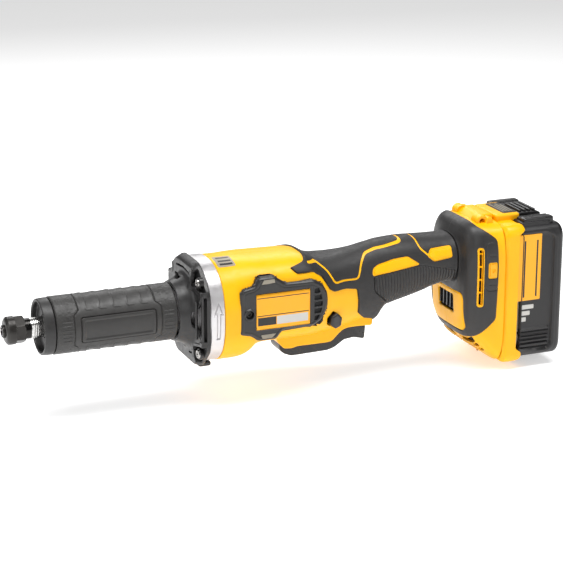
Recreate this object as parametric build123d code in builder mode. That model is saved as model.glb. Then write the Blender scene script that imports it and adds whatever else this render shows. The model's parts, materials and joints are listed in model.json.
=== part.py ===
from build123d import *
import os

# Cordless die grinder. +X runs along the spindle axis from the collet mouth to the battery, +Z is up.
# The origin is the centre of the collet mouth. All sizes are in millimetres.

# ---- Driving dimensions -------------------------------------------------------------------------
WALL = 2.6  # thickness of the moulded shells
RUNNING_GAP = 0.05  # radial gap of a running fit
CLEAR = 0.4  # gap beside a moving piece

# Collet and nut
COLLET_BORE_R = 3.0
COLLET_LENGTH = 32.0
COLLET_SLIT = 0.8
NUT_FRONT = 2.2
NUT_REAR = 16.8
NUT_R = 10.8
NUT_ACROSS_FLATS = 19.0
NUT_FLATS_FRONT = 9.2
NUT_THREAD_R = 7.05

# Spindle
SPINDLE_FRONT = 13.0
COLLAR_FRONT = 17.3
COLLAR_REAR = 21.3
COLLAR_R = 8.0
SPINDLE_NOSE_R = 8.1
NOSE_FLATS_FRONT = 22.1
NOSE_FLATS_LENGTH = 12.0
NOSE_ACROSS_FLATS = 13.8
SPINDLE_R = 6.0
ROTOR_SEAT_R = 5.0
TAIL_R = 4.0
ROTOR_SEAT_FRONT = 164.0
TAIL_FRONT = 230.0
SPINDLE_REAR = 243.0

# Nose
SLEEVE_FRONT = 35.0
SLEEVE_R = 17.0
CAP_FRONT = 26.0
CAP_REAR = 53.0
BOOT_FRONT = 53.4
BOOT_REAR = 133.6
BOOT_R = 22.5

# Bearings: front face, bore radius, outer radius, width, ball radius, ball count
BEARINGS = {
    "front_bearing": (38.0, SPINDLE_R, 14.0, 8.0, 2.2, 8),
    "middle_bearing": (153.6, SPINDLE_R, 14.0, 8.0, 2.2, 8),
    "rear_bearing": (232.5, TAIL_R, 11.0, 7.0, 1.9, 7),
}

# Vent cover and bearing plate
COVER_FRONT = 134.2
COVER_SHOULDER = 145.0
PLATE_FRONT = 153.0
PLATE_REAR = 165.2
PLATE_SIZE = 81.6
PLATE_CORNER_R = 35.0
COVER_SCREW_SPACING_Y = 54.0
COVER_SCREW_SPACING_Z = 58.0
COVER_FOOT_Z = -45.3
COVER_FOOT_REAR = 168.7

# Motor
FAN_FRONT = 166.2
FAN_REAR = 173.0
FAN_R = 34.0
CORE_FRONT = 182.0
CORE_REAR = 218.0
ROTOR_R = 14.0
MAGNET_R = 16.0
STATOR_BORE_R = 16.6
STATOR_R = 28.4
WINDING_LENGTH = 7.0

# Shell stations: x, half width, lowest z, highest z, corner radius
BODY_STATIONS = [
    (165.4, 40.3, -40.3, 40.3, 33.0),
    (188.0, 38.2, -40.3, 40.8, 29.0),
    (204.0, 37.4, -32.0, 39.6, 26.0),
    (238.0, 36.6, -32.0, 38.2, 24.0),
    (254.0, 33.5, -30.0, 33.0, 20.0),
    (272.0, 25.0, -29.0, 31.0, 16.0),
    (302.0, 20.5, -21.0, 35.2, 15.0),
    (318.0, 20.0, -13.0, 37.0, 16.0),
    (347.0, 19.5, -8.0, 37.5, 16.0),
    (366.0, 18.5, -2.0, 36.5, 15.0),
]
FOOT_STATIONS = [
    (366.0, 14.0, -33.0, 10.0, 10.0),
    (378.0, 29.0, -40.0, 47.0, 14.0),
    (386.0, 35.0, -50.0, 50.0, 16.0),
    (408.4, 39.5, -70.4, 50.0, 16.0),
]
OVERMOULD = 2.0  # thickness of the soft skin on the handle
OVERMOULD_FRONT = 256.0
OVERMOULD_REAR = 366.0
OVERMOULD_LOW_Z = 2.0  # lower edge of the skin beside the trigger carrier
CARRIER_REAR = 301.7

# Side bezels
BEZEL_SCREW_X = 185.3
BEZEL_SCREW_Z = 2.0
BEZEL_SCREW_R = 1.5

# Trigger
TRIGGER_HALF_WIDTH = 12.0
TRIGGER_PIVOT_X = 228.0
TRIGGER_PIVOT_Z = -37.5
TRIGGER_PIN_R = 1.5
SPRING_X = 286.0
SPRING_LOW_Z = -28.6
SPRING_HEIGHT = 8.0

# Lock-off button
LOCK_X = 261.8
LOCK_Z = -15.5
LOCK_R = 7.2
LOCK_NEAR_Y = -32.5
LOCK_FAR_Y = 27.5

# Battery
PACK_FRONT = 408.8
PACK_JOIN = 423.0
PACK_REAR = 463.4
PACK_HALF_WIDTH = 40.0
PACK_LOW = -65.0
PACK_HIGH = 47.0
PACK_CORNER_R = 8.0
PACK_WALL = 2.2
CELL_R = 9.15
CELL_LENGTH = 65.0
CELL_PITCH = 18.7
CELL_ROWS = 5
CELL_FIRST_X = 430.0
BLADE_SPACING = 9.0
BLADE_THICKNESS = 0.8
RAIL_Y = 22.0

os.makedirs("parts", exist_ok=True)


def keep(name, piece):
    """Labels a finished piece and writes its file."""
    piece.part.label = name
    export_step(piece.part, "parts/" + name + ".step")


def turned(outline):
    """A body turned about the spindle axis, from its (x, radius) outline."""
    with BuildPart() as piece:
        with BuildSketch(Plane.XZ):
            with BuildLine():
                Polyline(*outline, close=True)
            make_face()
        revolve(axis=Axis.X)
    return piece


def shell_volume(stations, grow):
    """A solid body through rounded sections across X, each one larger by grow all round."""
    with BuildPart() as volume:
        for x, half_width, low, high, corner in stations:
            with BuildSketch(Plane.YZ.offset(x)):
                with Locations((0, (low + high) / 2)):
                    RectangleRounded(2 * (half_width + grow), high - low + 2 * grow, corner + grow)
        loft(ruled=True)
    return volume


def side_prism(outline, half_width):
    """A solid with the given (x, z) outline, symmetric about the middle plane."""
    with BuildPart() as prism:
        with BuildSketch(Plane.XZ):
            with BuildLine():
                Polyline(*outline, close=True)
            make_face()
        extrude(amount=half_width, both=True)
    return prism


# ---- Collet, nut and spindle --------------------------------------------------------------------
with BuildPart() as collet:
    with BuildSketch(Plane.XZ):
        with BuildLine():
            Polyline(
                (0, COLLET_BORE_R), (0, 4.4), (0.6, 4.9), (6.0, 4.9), (8.9, 6.3), (11.0, 6.3),
                (11.6, 5.4), (12.8, 5.4), (13.2, 5.9), (COLLET_LENGTH, 4.4),
                (COLLET_LENGTH, COLLET_BORE_R), close=True,
            )
        make_face()
    revolve(axis=Axis.X)
    for turn in range(3):
        with BuildSketch(Plane.YZ.offset(-1)):
            with Locations(Rotation(0, 0, 120 * turn)):
                with Locations((5, 0)):
                    Rectangle(8, COLLET_SLIT)
        extrude(amount=COLLET_LENGTH - 6, mode=Mode.SUBTRACT)
keep("collet", collet)

with BuildPart() as collet_nut:
    with BuildSketch(Plane.XZ):
        with BuildLine():
            Polyline(
                (NUT_FRONT, 5.0), (NUT_FRONT, NUT_R - 2.2), (NUT_FRONT + 1.6, NUT_R - 0.4),
                (NUT_FRONT + 2.6, NUT_R), (NUT_REAR - 1.4, NUT_R), (NUT_REAR, NUT_R - 1.4),
                (NUT_REAR, NUT_THREAD_R), (11.2, NUT_THREAD_R), (11.2, 6.45), (9.1, 6.45),
                (6.1, 5.0), close=True,
            )
        make_face()
    revolve(axis=Axis.X)
    with BuildSketch(Plane.YZ.offset(NUT_FLATS_FRONT)):
        Circle(NUT_R + 2)
        RegularPolygon(NUT_ACROSS_FLATS / 2, 6, major_radius=False, mode=Mode.SUBTRACT)
    extrude(amount=NUT_REAR, mode=Mode.SUBTRACT)
keep("collet_nut", collet_nut)

SPINDLE_OUTLINE = [
    (34.0, 0), (34.0, 4.4), (SPINDLE_FRONT, 6.0), (SPINDLE_FRONT, NUT_THREAD_R - 0.1),
    (COLLAR_FRONT, NUT_THREAD_R - 0.1), (COLLAR_FRONT, COLLAR_R), (COLLAR_REAR, COLLAR_R),
    (COLLAR_REAR, SPINDLE_NOSE_R), (36.0, SPINDLE_NOSE_R), (36.0, SPINDLE_R),
    (ROTOR_SEAT_FRONT, SPINDLE_R), (ROTOR_SEAT_FRONT, ROTOR_SEAT_R), (TAIL_FRONT, ROTOR_SEAT_R),
    (TAIL_FRONT, TAIL_R), (SPINDLE_REAR - 1, TAIL_R), (SPINDLE_REAR, TAIL_R - 1), (SPINDLE_REAR, 0),
]
with BuildPart() as spindle:
    with BuildSketch(Plane.XZ):
        with BuildLine():
            Polyline(*SPINDLE_OUTLINE, close=True)
        make_face()
    revolve(axis=Axis.X)
    with BuildSketch(Plane.YZ.offset(NOSE_FLATS_FRONT)):
        Rectangle(20, 20)
        Rectangle(NOSE_ACROSS_FLATS, 20, mode=Mode.SUBTRACT)
    extrude(amount=NOSE_FLATS_LENGTH, mode=Mode.SUBTRACT)
keep("spindle", spindle)

# ---- Bearings: each outer ring with its balls, each inner ring on the spindle --------------------
for name, (front, bore_r, outer_r, width, ball_r, count) in BEARINGS.items():
    pitch_r = (bore_r + outer_r) / 2
    with BuildPart() as outer_ring:
        with BuildSketch(Plane.YZ.offset(front)):
            Circle(outer_r)
            Circle(pitch_r + ball_r + 0.03, mode=Mode.SUBTRACT)
        extrude(amount=width)
        with Locations(Plane.YZ.offset(front + width / 2)):
            with PolarLocations(pitch_r, count):
                Sphere(ball_r)
    keep(name + "_outer", outer_ring)
    inner_ring = turned([
        (front, bore_r), (front, pitch_r - ball_r - 0.03),
        (front + width, pitch_r - ball_r - 0.03), (front + width, bore_r),
    ])
    keep(name + "_inner", inner_ring)

# ---- Nose ---------------------------------------------------------------------------------------
nose_sleeve = turned([
    (SLEEVE_FRONT, 9.5), (SLEEVE_FRONT, SLEEVE_R), (147.0, SLEEVE_R), (147.0, 26.0),
    (PLATE_FRONT, 26.0), (PLATE_FRONT, 13.0), (46.0, 13.0), (46.0, 14.0), (38.0, 14.0), (38.0, 9.5),
])
keep("nose_sleeve", nose_sleeve)

boot_cap = turned([
    (CAP_FRONT, 11.0), (CAP_FRONT, 19.0), (28.5, 21.0), (36.0, 21.9), (36.5, 21.2), (37.3, 21.2),
    (37.8, 22.2), (CAP_REAR, BOOT_R), (CAP_REAR, SLEEVE_R), (34.9, SLEEVE_R), (34.9, 11.0),
])
keep("boot_cap", boot_cap)

with BuildPart() as boot:
    with BuildSketch(Plane.XZ):
        with BuildLine():
            Polyline(
                (BOOT_FRONT, SLEEVE_R), (BOOT_FRONT, BOOT_R), (115.0, BOOT_R), (115.5, BOOT_R - 0.9),
                (116.3, BOOT_R - 0.9), (116.8, BOOT_R), (BOOT_REAR, BOOT_R + 0.2),
                (BOOT_REAR, SLEEVE_R), close=True,
            )
        make_face()
    revolve(axis=Axis.X)
    for side in (-1, 1):
        with BuildSketch(Plane.XZ.offset(side * (BOOT_R - 3))):
            with Locations((85.8, 0)):
                RectangleRounded(59, 19.8, 3)
        extrude(amount=side * 3.0)
keep("boot", boot)

# ---- Vent cover and bearing plate ----------------------------------------------------------------
COVER_OUTLINE = [
    (-18, 42.3), (18, 42.3), (40, 22), (40, -24), (20, COVER_FOOT_Z), (-20, COVER_FOOT_Z),
    (-40, -24), (-40, 22),
]
with BuildPart() as vent_cover:
    with BuildSketch(Plane.YZ.offset(COVER_SHOULDER)):
        with BuildLine():
            Polyline(*COVER_OUTLINE, close=True)
        make_face()
    extrude(amount=PLATE_FRONT - COVER_SHOULDER)
    fillet(vent_cover.edges().filter_by(Axis.X), 5)
    fillet(vent_cover.faces().sort_by(Axis.X)[0].edges(), 2.5)
    with BuildSketch(Plane.YZ.offset(COVER_FRONT)):
        Circle(BOOT_R + 0.4)
    with BuildSketch(Plane.YZ.offset(COVER_SHOULDER + 1)):
        Circle(36)
    loft()
    # tongue under the bearing plate, which is the tool's front foot
    with BuildSketch(Plane.YZ.offset(PLATE_FRONT - 2)):
        with Locations((0, COVER_FOOT_Z + 1.9)):
            Rectangle(36, 3.8)
    extrude(amount=COVER_FOOT_REAR - PLATE_FRONT + 2)
    # air chamber around the sleeve
    with BuildSketch(Plane.YZ.offset(COVER_FRONT - 1)):
        Circle(SLEEVE_R + 0.1)
    with BuildSketch(Plane.YZ.offset(COVER_FRONT + 3)):
        Circle(SLEEVE_R + 2)
    with BuildSketch(Plane.YZ.offset(PLATE_FRONT + 0.1)):
        Circle(34.5)
    loft(ruled=True, mode=Mode.SUBTRACT)
    # side openings with two upright bars, and arc slots above and below
    for z in (-9, 0, 9):
        with Locations((COVER_SHOULDER, 0, z)):
            Box(9, 90, 6.6, mode=Mode.SUBTRACT)
    for radius in (29, 35):
        for z_sign in (-1, 1):
            with BuildSketch(Plane.YZ.offset(COVER_FRONT)):
                with Locations((0, z_sign * radius)):
                    SlotOverall(26, 2.6)
            extrude(amount=30, mode=Mode.SUBTRACT)
    with Locations(Plane.YZ.offset(COVER_SHOULDER - 1)):
        with GridLocations(COVER_SCREW_SPACING_Y, COVER_SCREW_SPACING_Z, 2, 2):
            Cylinder(4.6, 6, mode=Mode.SUBTRACT)
            Cylinder(2.1, 40, mode=Mode.SUBTRACT)
keep("vent_cover", vent_cover)

with BuildPart() as vent_cover_screws:
    with Locations(Plane.YZ.offset(COVER_SHOULDER + 2)):
        with GridLocations(COVER_SCREW_SPACING_Y, COVER_SCREW_SPACING_Z, 2, 2):
            Cylinder(3.8, 3.0, align=(Align.CENTER, Align.CENTER, Align.MIN), rotation=(180, 0, 0))
            Cylinder(2.0, 15.0, align=(Align.CENTER, Align.CENTER, Align.MIN))
    with Locations(Plane.YZ.offset(COVER_SHOULDER - 1)):
        with GridLocations(COVER_SCREW_SPACING_Y, COVER_SCREW_SPACING_Z, 2, 2):
            Cylinder(1.6, 3.0, mode=Mode.SUBTRACT)
keep("vent_cover_screws", vent_cover_screws)

with BuildPart() as bearing_plate:
    with BuildSketch(Plane.YZ.offset(PLATE_FRONT)):
        RectangleRounded(PLATE_SIZE, PLATE_SIZE, PLATE_CORNER_R)
        Circle(14.0, mode=Mode.SUBTRACT)
        with PolarLocations(25, 6):
            Circle(5.4, mode=Mode.SUBTRACT)
        with GridLocations(COVER_SCREW_SPACING_Y, COVER_SCREW_SPACING_Z, 2, 2):
            Circle(2.0, mode=Mode.SUBTRACT)
    extrude(amount=PLATE_REAR - PLATE_FRONT)
    with BuildSketch(Plane.YZ.offset(162.5)):
        Circle(FAN_R + 1.5)
    extrude(amount=PLATE_REAR, mode=Mode.SUBTRACT)
keep("bearing_plate", bearing_plate)

# ---- Motor --------------------------------------------------------------------------------------
with BuildPart() as cooling_fan:
    with BuildSketch(Plane.YZ.offset(FAN_FRONT)):
        Circle(FAN_R)
    extrude(amount=1.4)
    with BuildSketch(Plane.YZ.offset(FAN_FRONT)):
        Circle(11.0)
    extrude(amount=FAN_REAR - FAN_FRONT)
    with BuildSketch(Plane.YZ.offset(FAN_FRONT + 1)):
        with PolarLocations(21.5, 15):
            Rectangle(22, 1.2, rotation=20)
    extrude(amount=FAN_REAR - FAN_FRONT - 1)
    with BuildSketch(Plane.YZ.offset(FAN_FRONT)):
        Circle(ROTOR_SEAT_R)
    extrude(amount=FAN_REAR, mode=Mode.SUBTRACT)
keep("cooling_fan", cooling_fan)

rotor_core = turned([
    (CORE_FRONT, ROTOR_SEAT_R), (CORE_FRONT, ROTOR_R), (CORE_REAR, ROTOR_R), (CORE_REAR, ROTOR_SEAT_R),
])
keep("rotor_core", rotor_core)

with BuildPart() as rotor_magnets:
    with BuildSketch(Plane.YZ.offset(CORE_FRONT)):
        Circle(MAGNET_R)
        Circle(ROTOR_R, mode=Mode.SUBTRACT)
        Rectangle(2, 40, mode=Mode.SUBTRACT)
        Rectangle(40, 2, mode=Mode.SUBTRACT)
    extrude(amount=CORE_REAR - CORE_FRONT)
keep("rotor_magnets", rotor_magnets)

with BuildPart() as stator_core:
    with BuildSketch(Plane.YZ.offset(CORE_FRONT)):
        Circle(STATOR_R)
        Circle(STATOR_BORE_R, mode=Mode.SUBTRACT)
        with PolarLocations(23.5, 6):
            SlotOverall(11, 6, mode=Mode.SUBTRACT)
    extrude(amount=CORE_REAR - CORE_FRONT)
keep("stator_core", stator_core)

with BuildPart() as stator_windings:
    for start in (CORE_FRONT - WINDING_LENGTH, CORE_REAR):
        with BuildSketch(Plane.YZ.offset(start)):
            with PolarLocations(23.5, 6, start_angle=30):
                RectangleRounded(11, 9.4, 2.5)
        extrude(amount=WINDING_LENGTH)
keep("stator_windings", stator_windings)

position_board = turned([(226.4, 7.0), (226.4, 19.0), (228.0, 19.0), (228.0, 7.0)])
keep("position_board", position_board)

with BuildPart() as motor_leads:
    with BuildSketch(Plane.YZ.offset(CORE_REAR + WINDING_LENGTH + 0.2)):
        with Locations((-6, 22), (0, 22), (6, 22)):
            Circle(1.2)
    extrude(amount=151.3)
keep("motor_leads", motor_leads)

# ---- Housing halves and handle skin --------------------------------------------------------------
CARRIER_OUTLINE = [
    (220.5, -28.0), (221.2, -37.6), (266.0, -38.2), (272.0, -35.0), (284.0, -28.6),
    (CARRIER_REAR, -28.9), (CARRIER_REAR, -16.0), (230.0, -16.0),
]
TRIGGER_SLOT = [(222.4, -22.0), (222.4, -50.0), (299.4, -50.0), (299.4, -22.0)]
# screw places along the split, as (x, z)
HOUSING_SCREWS = [(247.0, 29.5), (312.0, 31.0), (312.0, -9.5), (356.0, 4.0), (392.0, 43.0), (392.0, -46.0)]
SCREW_HEAD_Y = 9.0  # the screws are driven from the +Y side
# walls across the motor bay: front face, thickness, radius of what they hold
BAY_WALLS = [(190.0, 3.0, STATOR_R), (208.0, 3.0, STATOR_R), (231.0, 10.0, 11.0)]

body_outer = shell_volume(BODY_STATIONS, 0)
foot_outer = shell_volume(FOOT_STATIONS, 0)
skin_outer = shell_volume(BODY_STATIONS, OVERMOULD)
body_inner = shell_volume(
    [(BODY_STATIONS[0][0] - 1, *BODY_STATIONS[0][1:]), *BODY_STATIONS[1:-1], (373.0, *BODY_STATIONS[-1][1:])],
    -WALL,
)
foot_inner = shell_volume(
    [(369.0, *FOOT_STATIONS[0][1:]), *FOOT_STATIONS[1:3], (405.4, 39.0, -67.0, 49.8, 16.0)], -WALL
)
carrier = side_prism(CARRIER_OUTLINE, TRIGGER_HALF_WIDTH + CLEAR + 2.2)
carrier_slot = side_prism(TRIGGER_SLOT, TRIGGER_HALF_WIDTH + CLEAR)

with BuildPart() as outer_volume:
    add(body_outer.part)
    add(foot_outer.part)
    add(carrier.part)

with BuildPart() as bay_walls:
    for front, thickness, held_r in BAY_WALLS:
        with BuildSketch(Plane.YZ.offset(front)):
            Rectangle(90, 90)
            Circle(held_r, mode=Mode.SUBTRACT)
            if held_r < 20:
                with Locations((0, 22)):
                    Rectangle(18, 6, mode=Mode.SUBTRACT)
                with Locations((22, 0), (-22, 0), (0, -20)):
                    Circle(6, mode=Mode.SUBTRACT)
        extrude(amount=thickness)
    add(outer_volume.part, mode=Mode.INTERSECT)

with BuildPart() as screw_posts:
    for x, z in HOUSING_SCREWS:
        with BuildSketch(Plane.XZ):
            with Locations((x, z)):
                Circle(4.2)
        extrude(amount=50, both=True)
    add(outer_volume.part, mode=Mode.INTERSECT)

with BuildPart() as whole_housing:
    add(outer_volume.part)
    # stop ledge under the battery, and the hanging boss on top of the foot
    with BuildSketch(Plane.XZ):
        with BuildLine():
            Polyline((388, -53), (417.3, -74), (417.3, -66.4), (407, -66.4), (404, -58), close=True)
        make_face()
    extrude(amount=26, both=True)
    with Locations((394.0, 0, 51.0)):
        Box(13, 34, 7)
    add(body_inner.part, mode=Mode.SUBTRACT)
    add(foot_inner.part, mode=Mode.SUBTRACT)
    add(bay_walls.part)
    add(screw_posts.part)
    add(carrier_slot.part, mode=Mode.SUBTRACT)
    for x, z in HOUSING_SCREWS:
        with BuildSketch(Plane.XZ):
            with Locations((x, z)):
                Circle(1.8)
        extrude(amount=11, both=True, mode=Mode.SUBTRACT)
        with BuildSketch(Plane.XZ.offset(-SCREW_HEAD_Y)):
            with Locations((x, z)):
                Circle(3.4)
        extrude(amount=-50, mode=Mode.SUBTRACT)
    # holes: trigger pin, lock-off button, bezel screws, battery terminal block, foot air intakes
    with BuildSketch(Plane.XZ):
        with Locations((TRIGGER_PIVOT_X, TRIGGER_PIVOT_Z)):
            Circle(TRIGGER_PIN_R)
        with Locations((LOCK_X, LOCK_Z)):
            RegularPolygon(LOCK_R + CLEAR, 6, rotation=30)
        with Locations((BEZEL_SCREW_X, BEZEL_SCREW_Z)):
            Circle(BEZEL_SCREW_R)
    extrude(amount=50, both=True, mode=Mode.SUBTRACT)
    with Locations((407, 0, -19)):
        Box(12, 40, 24, mode=Mode.SUBTRACT)
    with Locations((364, 21, -16), (364, -21, -16)):
        Box(14, 9, 14, mode=Mode.SUBTRACT)

with BuildPart() as whole_skin:
    add(skin_outer.part)
    add(body_outer.part, mode=Mode.SUBTRACT)
    with Locations((OVERMOULD_FRONT - 100, 0, 0)):
        Box(200, 200, 200, mode=Mode.SUBTRACT)
    with Locations((OVERMOULD_REAR + 100, 0, 0)):
        Box(200, 200, 200, mode=Mode.SUBTRACT)
    with Locations((CARRIER_REAR + 0.3 - 100, 0, OVERMOULD_LOW_Z - 100)):
        Box(200, 200, 200, mode=Mode.SUBTRACT)
    add(foot_outer.part, mode=Mode.SUBTRACT)
    for x, z in HOUSING_SCREWS:
        with BuildSketch(Plane.XZ.offset(-SCREW_HEAD_Y)):
            with Locations((x, z)):
                Circle(3.4)
        extrude(amount=-50, mode=Mode.SUBTRACT)

for side, keep_side in (("left", Keep.TOP), ("right", Keep.BOTTOM)):
    with BuildPart() as housing_half:
        add(whole_housing.part)
        split(bisect_by=Plane.XZ, keep=keep_side)
    keep("housing_" + side, housing_half)
    with BuildPart() as skin_half:
        add(whole_skin.part)
        split(bisect_by=Plane.XZ, keep=keep_side)
    keep("handle_skin_" + side, skin_half)

with BuildPart() as housing_screws:
    for x, z in HOUSING_SCREWS:
        with BuildSketch(Plane.XZ.offset(-SCREW_HEAD_Y)):
            with Locations((x, z)):
                Circle(3.1)
        extrude(amount=-3)
        with BuildSketch(Plane.XZ.offset(-SCREW_HEAD_Y)):
            with Locations((x, z)):
                Circle(1.8)
        extrude(amount=18)
keep("housing_screws", housing_screws)

# ---- Side bezels, labels and their screws ---------------------------------------------------------
BEZEL_OUTLINE = [
    (178.0, -14.0), (178.0, 20.0), (181.0, 22.6), (189.5, 24.0), (193.0, 30.6), (206.3, 30.6),
    (215.3, 24.2), (239.3, 23.9), (247.0, 19.6), (251.0, 12.0), (251.6, 4.9), (250.0, -3.0),
    (246.0, -9.5), (239.3, -13.9), (213.0, -14.2), (207.9, -20.5), (192.8, -20.5), (187.0, -16.0),
]
for side, sign in (("left", 1), ("right", -1)):
    with BuildPart() as bezel:
        with BuildSketch(Plane.XZ.offset(sign * 30)):
            with BuildLine():
                Polyline(*BEZEL_OUTLINE, close=True)
            make_face()
        extrude(amount=sign * 10.5)
        add(body_outer.part, mode=Mode.SUBTRACT)
        with BuildSketch(Plane.XZ.offset(sign * 39.5)):
            with Locations((213.2, 3.0)):
                RectangleRounded(45.6, 29.6, 1.0)
        extrude(amount=sign * 4, mode=Mode.SUBTRACT)
        with BuildSketch(Plane.XZ.offset(sign * 30)):
            with Locations((BEZEL_SCREW_X, BEZEL_SCREW_Z)):
                Circle(1.5)
        extrude(amount=sign * 12, mode=Mode.SUBTRACT)
        with BuildSketch(Plane.XZ.offset(sign * 39.0)):
            with Locations((BEZEL_SCREW_X, BEZEL_SCREW_Z)):
                Circle(3.4)
        extrude(amount=sign * 4, mode=Mode.SUBTRACT)
    keep("side_bezel_" + side, bezel)
    with BuildPart() as label:
        with BuildSketch(Plane.XZ.offset(sign * 39.5)):
            with Locations((213.2, 3.0)):
                RectangleRounded(45.0, 29.0, 0.8)
        extrude(amount=sign * 0.5)
    keep("side_label_" + side, label)

with BuildPart() as bezel_screws:
    for sign in (1, -1):
        with BuildSketch(Plane.XZ.offset(sign * 39.0)):
            with Locations((BEZEL_SCREW_X, BEZEL_SCREW_Z)):
                Circle(3.2)
        extrude(amount=sign * 1.4)
        with BuildSketch(Plane.XZ.offset(sign * 37.0)):
            with Locations((BEZEL_SCREW_X, BEZEL_SCREW_Z)):
                Circle(1.5)
        extrude(amount=sign * 2.0)
keep("bezel_screws", bezel_screws)

label_skin = shell_volume(BODY_STATIONS, 0.5)
with BuildPart() as top_label:
    add(label_skin.part)
    with Locations((176.5, -12, 40)):
        Box(17, 17, 30, mode=Mode.INTERSECT)
    add(body_outer.part, mode=Mode.SUBTRACT)
keep("top_label", top_label)

for side, sign in (("left", 1), ("right", -1)):
    with BuildPart() as inlay:
        with BuildSketch(Plane.XZ.offset(sign * 30)):
            with Locations((396.2, 16.8)):
                SlotOverall(41, 10, rotation=90)
        extrude(amount=sign * 8.6)
        add(foot_outer.part, mode=Mode.SUBTRACT)
    keep("foot_inlay_" + side, inlay)

# ---- Trigger, lock-off, switch and electronics ----------------------------------------------------
with BuildPart() as trigger:
    with BuildSketch(Plane.XZ):
        with BuildLine():
            Polyline(
                (223.2, -34.0), (223.2, -40.5), (226.0, -44.6), (231.5, -47.5), (265.3, -47.0),
                (272.5, -44.0), (279.0, -40.0), (285.0, -38.8), (292.0, -40.0), (297.8, -41.8),
                (297.8, -31.0), (285.0, -29.6), (268.0, -33.6), close=True,
            )
        make_face()
    extrude(amount=TRIGGER_HALF_WIDTH, both=True)
    fillet(trigger.edges().filter_by(Axis.Y).group_by(Axis.Z)[0], 2.0)
    with BuildSketch(Plane.XZ):
        with Locations((TRIGGER_PIVOT_X, TRIGGER_PIVOT_Z)):
            Circle(TRIGGER_PIN_R + RUNNING_GAP)
    extrude(amount=20, both=True, mode=Mode.SUBTRACT)
keep("trigger", trigger)

with BuildPart() as trigger_pin:
    with BuildSketch(Plane.XZ):
        with Locations((TRIGGER_PIVOT_X, TRIGGER_PIVOT_Z)):
            Circle(TRIGGER_PIN_R)
    extrude(amount=TRIGGER_HALF_WIDTH + CLEAR + 2.0, both=True)
keep("trigger_pin", trigger_pin)

with BuildPart() as trigger_spring:
    with BuildLine(Plane((SPRING_X, 0, SPRING_LOW_Z))) as coil:
        Helix(pitch=1.9, height=SPRING_HEIGHT, radius=3.0)
    with BuildSketch(Plane(origin=coil.line @ 0, z_dir=coil.line % 0)):
        Circle(0.4)
    sweep(path=coil.line)
keep("trigger_spring", trigger_spring)

with BuildPart() as lock_off_button:
    with BuildSketch(Plane.XZ.offset(-LOCK_FAR_Y)):
        with Locations((LOCK_X, LOCK_Z)):
            RegularPolygon(LOCK_R, 6, rotation=30)
    extrude(amount=LOCK_FAR_Y - LOCK_NEAR_Y)
    chamfer(lock_off_button.faces().sort_by(Axis.Y)[0].edges(), 0.8)
    chamfer(lock_off_button.faces().sort_by(Axis.Y)[-1].edges(), 0.8)
keep("lock_off_button", lock_off_button)

with BuildPart() as switch_module:
    with Locations((285, 0, -7.2)):
        Box(22, 18, 24)
    with Locations((285, 0, 6.8)):
        Box(16, 14, 4)
    fillet(switch_module.edges().filter_by(Axis.X), 0.8)
keep("switch_module", switch_module)

with BuildPart() as control_module:
    with Locations((388, 0, 0)):
        Box(18, 44, 56)
    with Locations((378, 0, 0)):
        with GridLocations(0, 6, 1, 7):
            Box(3, 1.6, 50)
keep("control_module", control_module)

with BuildPart() as terminal_block:
    with Locations((403.2, 0, -19)):
        Box(10, 39.6, 23.6)
    with Locations((405, 0, -19)):
        with GridLocations(0, BLADE_SPACING, 1, 4):
            Box(14, BLADE_THICKNESS, 16, mode=Mode.SUBTRACT)
keep("terminal_block", terminal_block)

with BuildPart() as tool_blades:
    with Locations((407.2, 0, -19)):
        with GridLocations(0, BLADE_SPACING, 1, 4):
            Box(15.6, BLADE_THICKNESS, 16)
keep("tool_blades", tool_blades)

with BuildPart() as battery_rails:
    for sign in (-1, 1):
        with BuildSketch(Plane.XY.offset(-50)):
            with Locations((411.2, sign * (RAIL_Y - 1))):
                Rectangle(5.6, 2.0)
            with Locations((413.0, sign * (RAIL_Y + 0.5))):
                Rectangle(2.0, 5.0)
        extrude(amount=80)
keep("battery_rails", battery_rails)

# ---- Battery pack --------------------------------------------------------------------------------
PACK_MIDDLE_Z = (PACK_LOW + PACK_HIGH) / 2
PACK_HEIGHT = PACK_HIGH - PACK_LOW

with BuildPart() as battery_rail_case:
    with BuildSketch(Plane.YZ.offset(PACK_FRONT)):
        with Locations((0, PACK_MIDDLE_Z)):
            RectangleRounded(2 * PACK_HALF_WIDTH - 1.6, PACK_HEIGHT - 0.8, PACK_CORNER_R)
    extrude(amount=PACK_JOIN - PACK_FRONT)
    fillet(battery_rail_case.faces().sort_by(Axis.X)[0].edges(), 2.0)
    with BuildSketch(Plane.YZ.offset(PACK_FRONT + 8)):
        with Locations((0, PACK_MIDDLE_Z)):
            RectangleRounded(2 * PACK_HALF_WIDTH - 7, PACK_HEIGHT - 6, PACK_CORNER_R - 2)
    extrude(amount=PACK_JOIN, mode=Mode.SUBTRACT)
    # channels for the rails and slots for the blades, open at the bottom end
    for sign in (-1, 1):
        with BuildSketch(Plane.XY.offset(PACK_LOW - 1)):
            with Locations((410.8, sign * (RAIL_Y - 1))):
                Rectangle(7.6, 2.8)
            with Locations((413.1, sign * (RAIL_Y + 0.5))):
                Rectangle(3.0, 5.8)
        extrude(amount=31 - PACK_LOW, mode=Mode.SUBTRACT)
    with BuildSketch(Plane.XY.offset(PACK_LOW - 1)):
        with Locations((411.9, 0)):
            with GridLocations(0, BLADE_SPACING, 1, 4):
                Rectangle(7.6, 3.4)
    extrude(amount=-9 - PACK_LOW, mode=Mode.SUBTRACT)
    # shelf under the latch spring, and the well for the latch
    with Locations((419.5, 0, 38.7)):
        Box(7.4, 12, 2.6)
    with Locations((418.2, 0, 46)):
        Box(11.6, 33, 12, mode=Mode.SUBTRACT)
keep("battery_rail_case", battery_rail_case)

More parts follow.
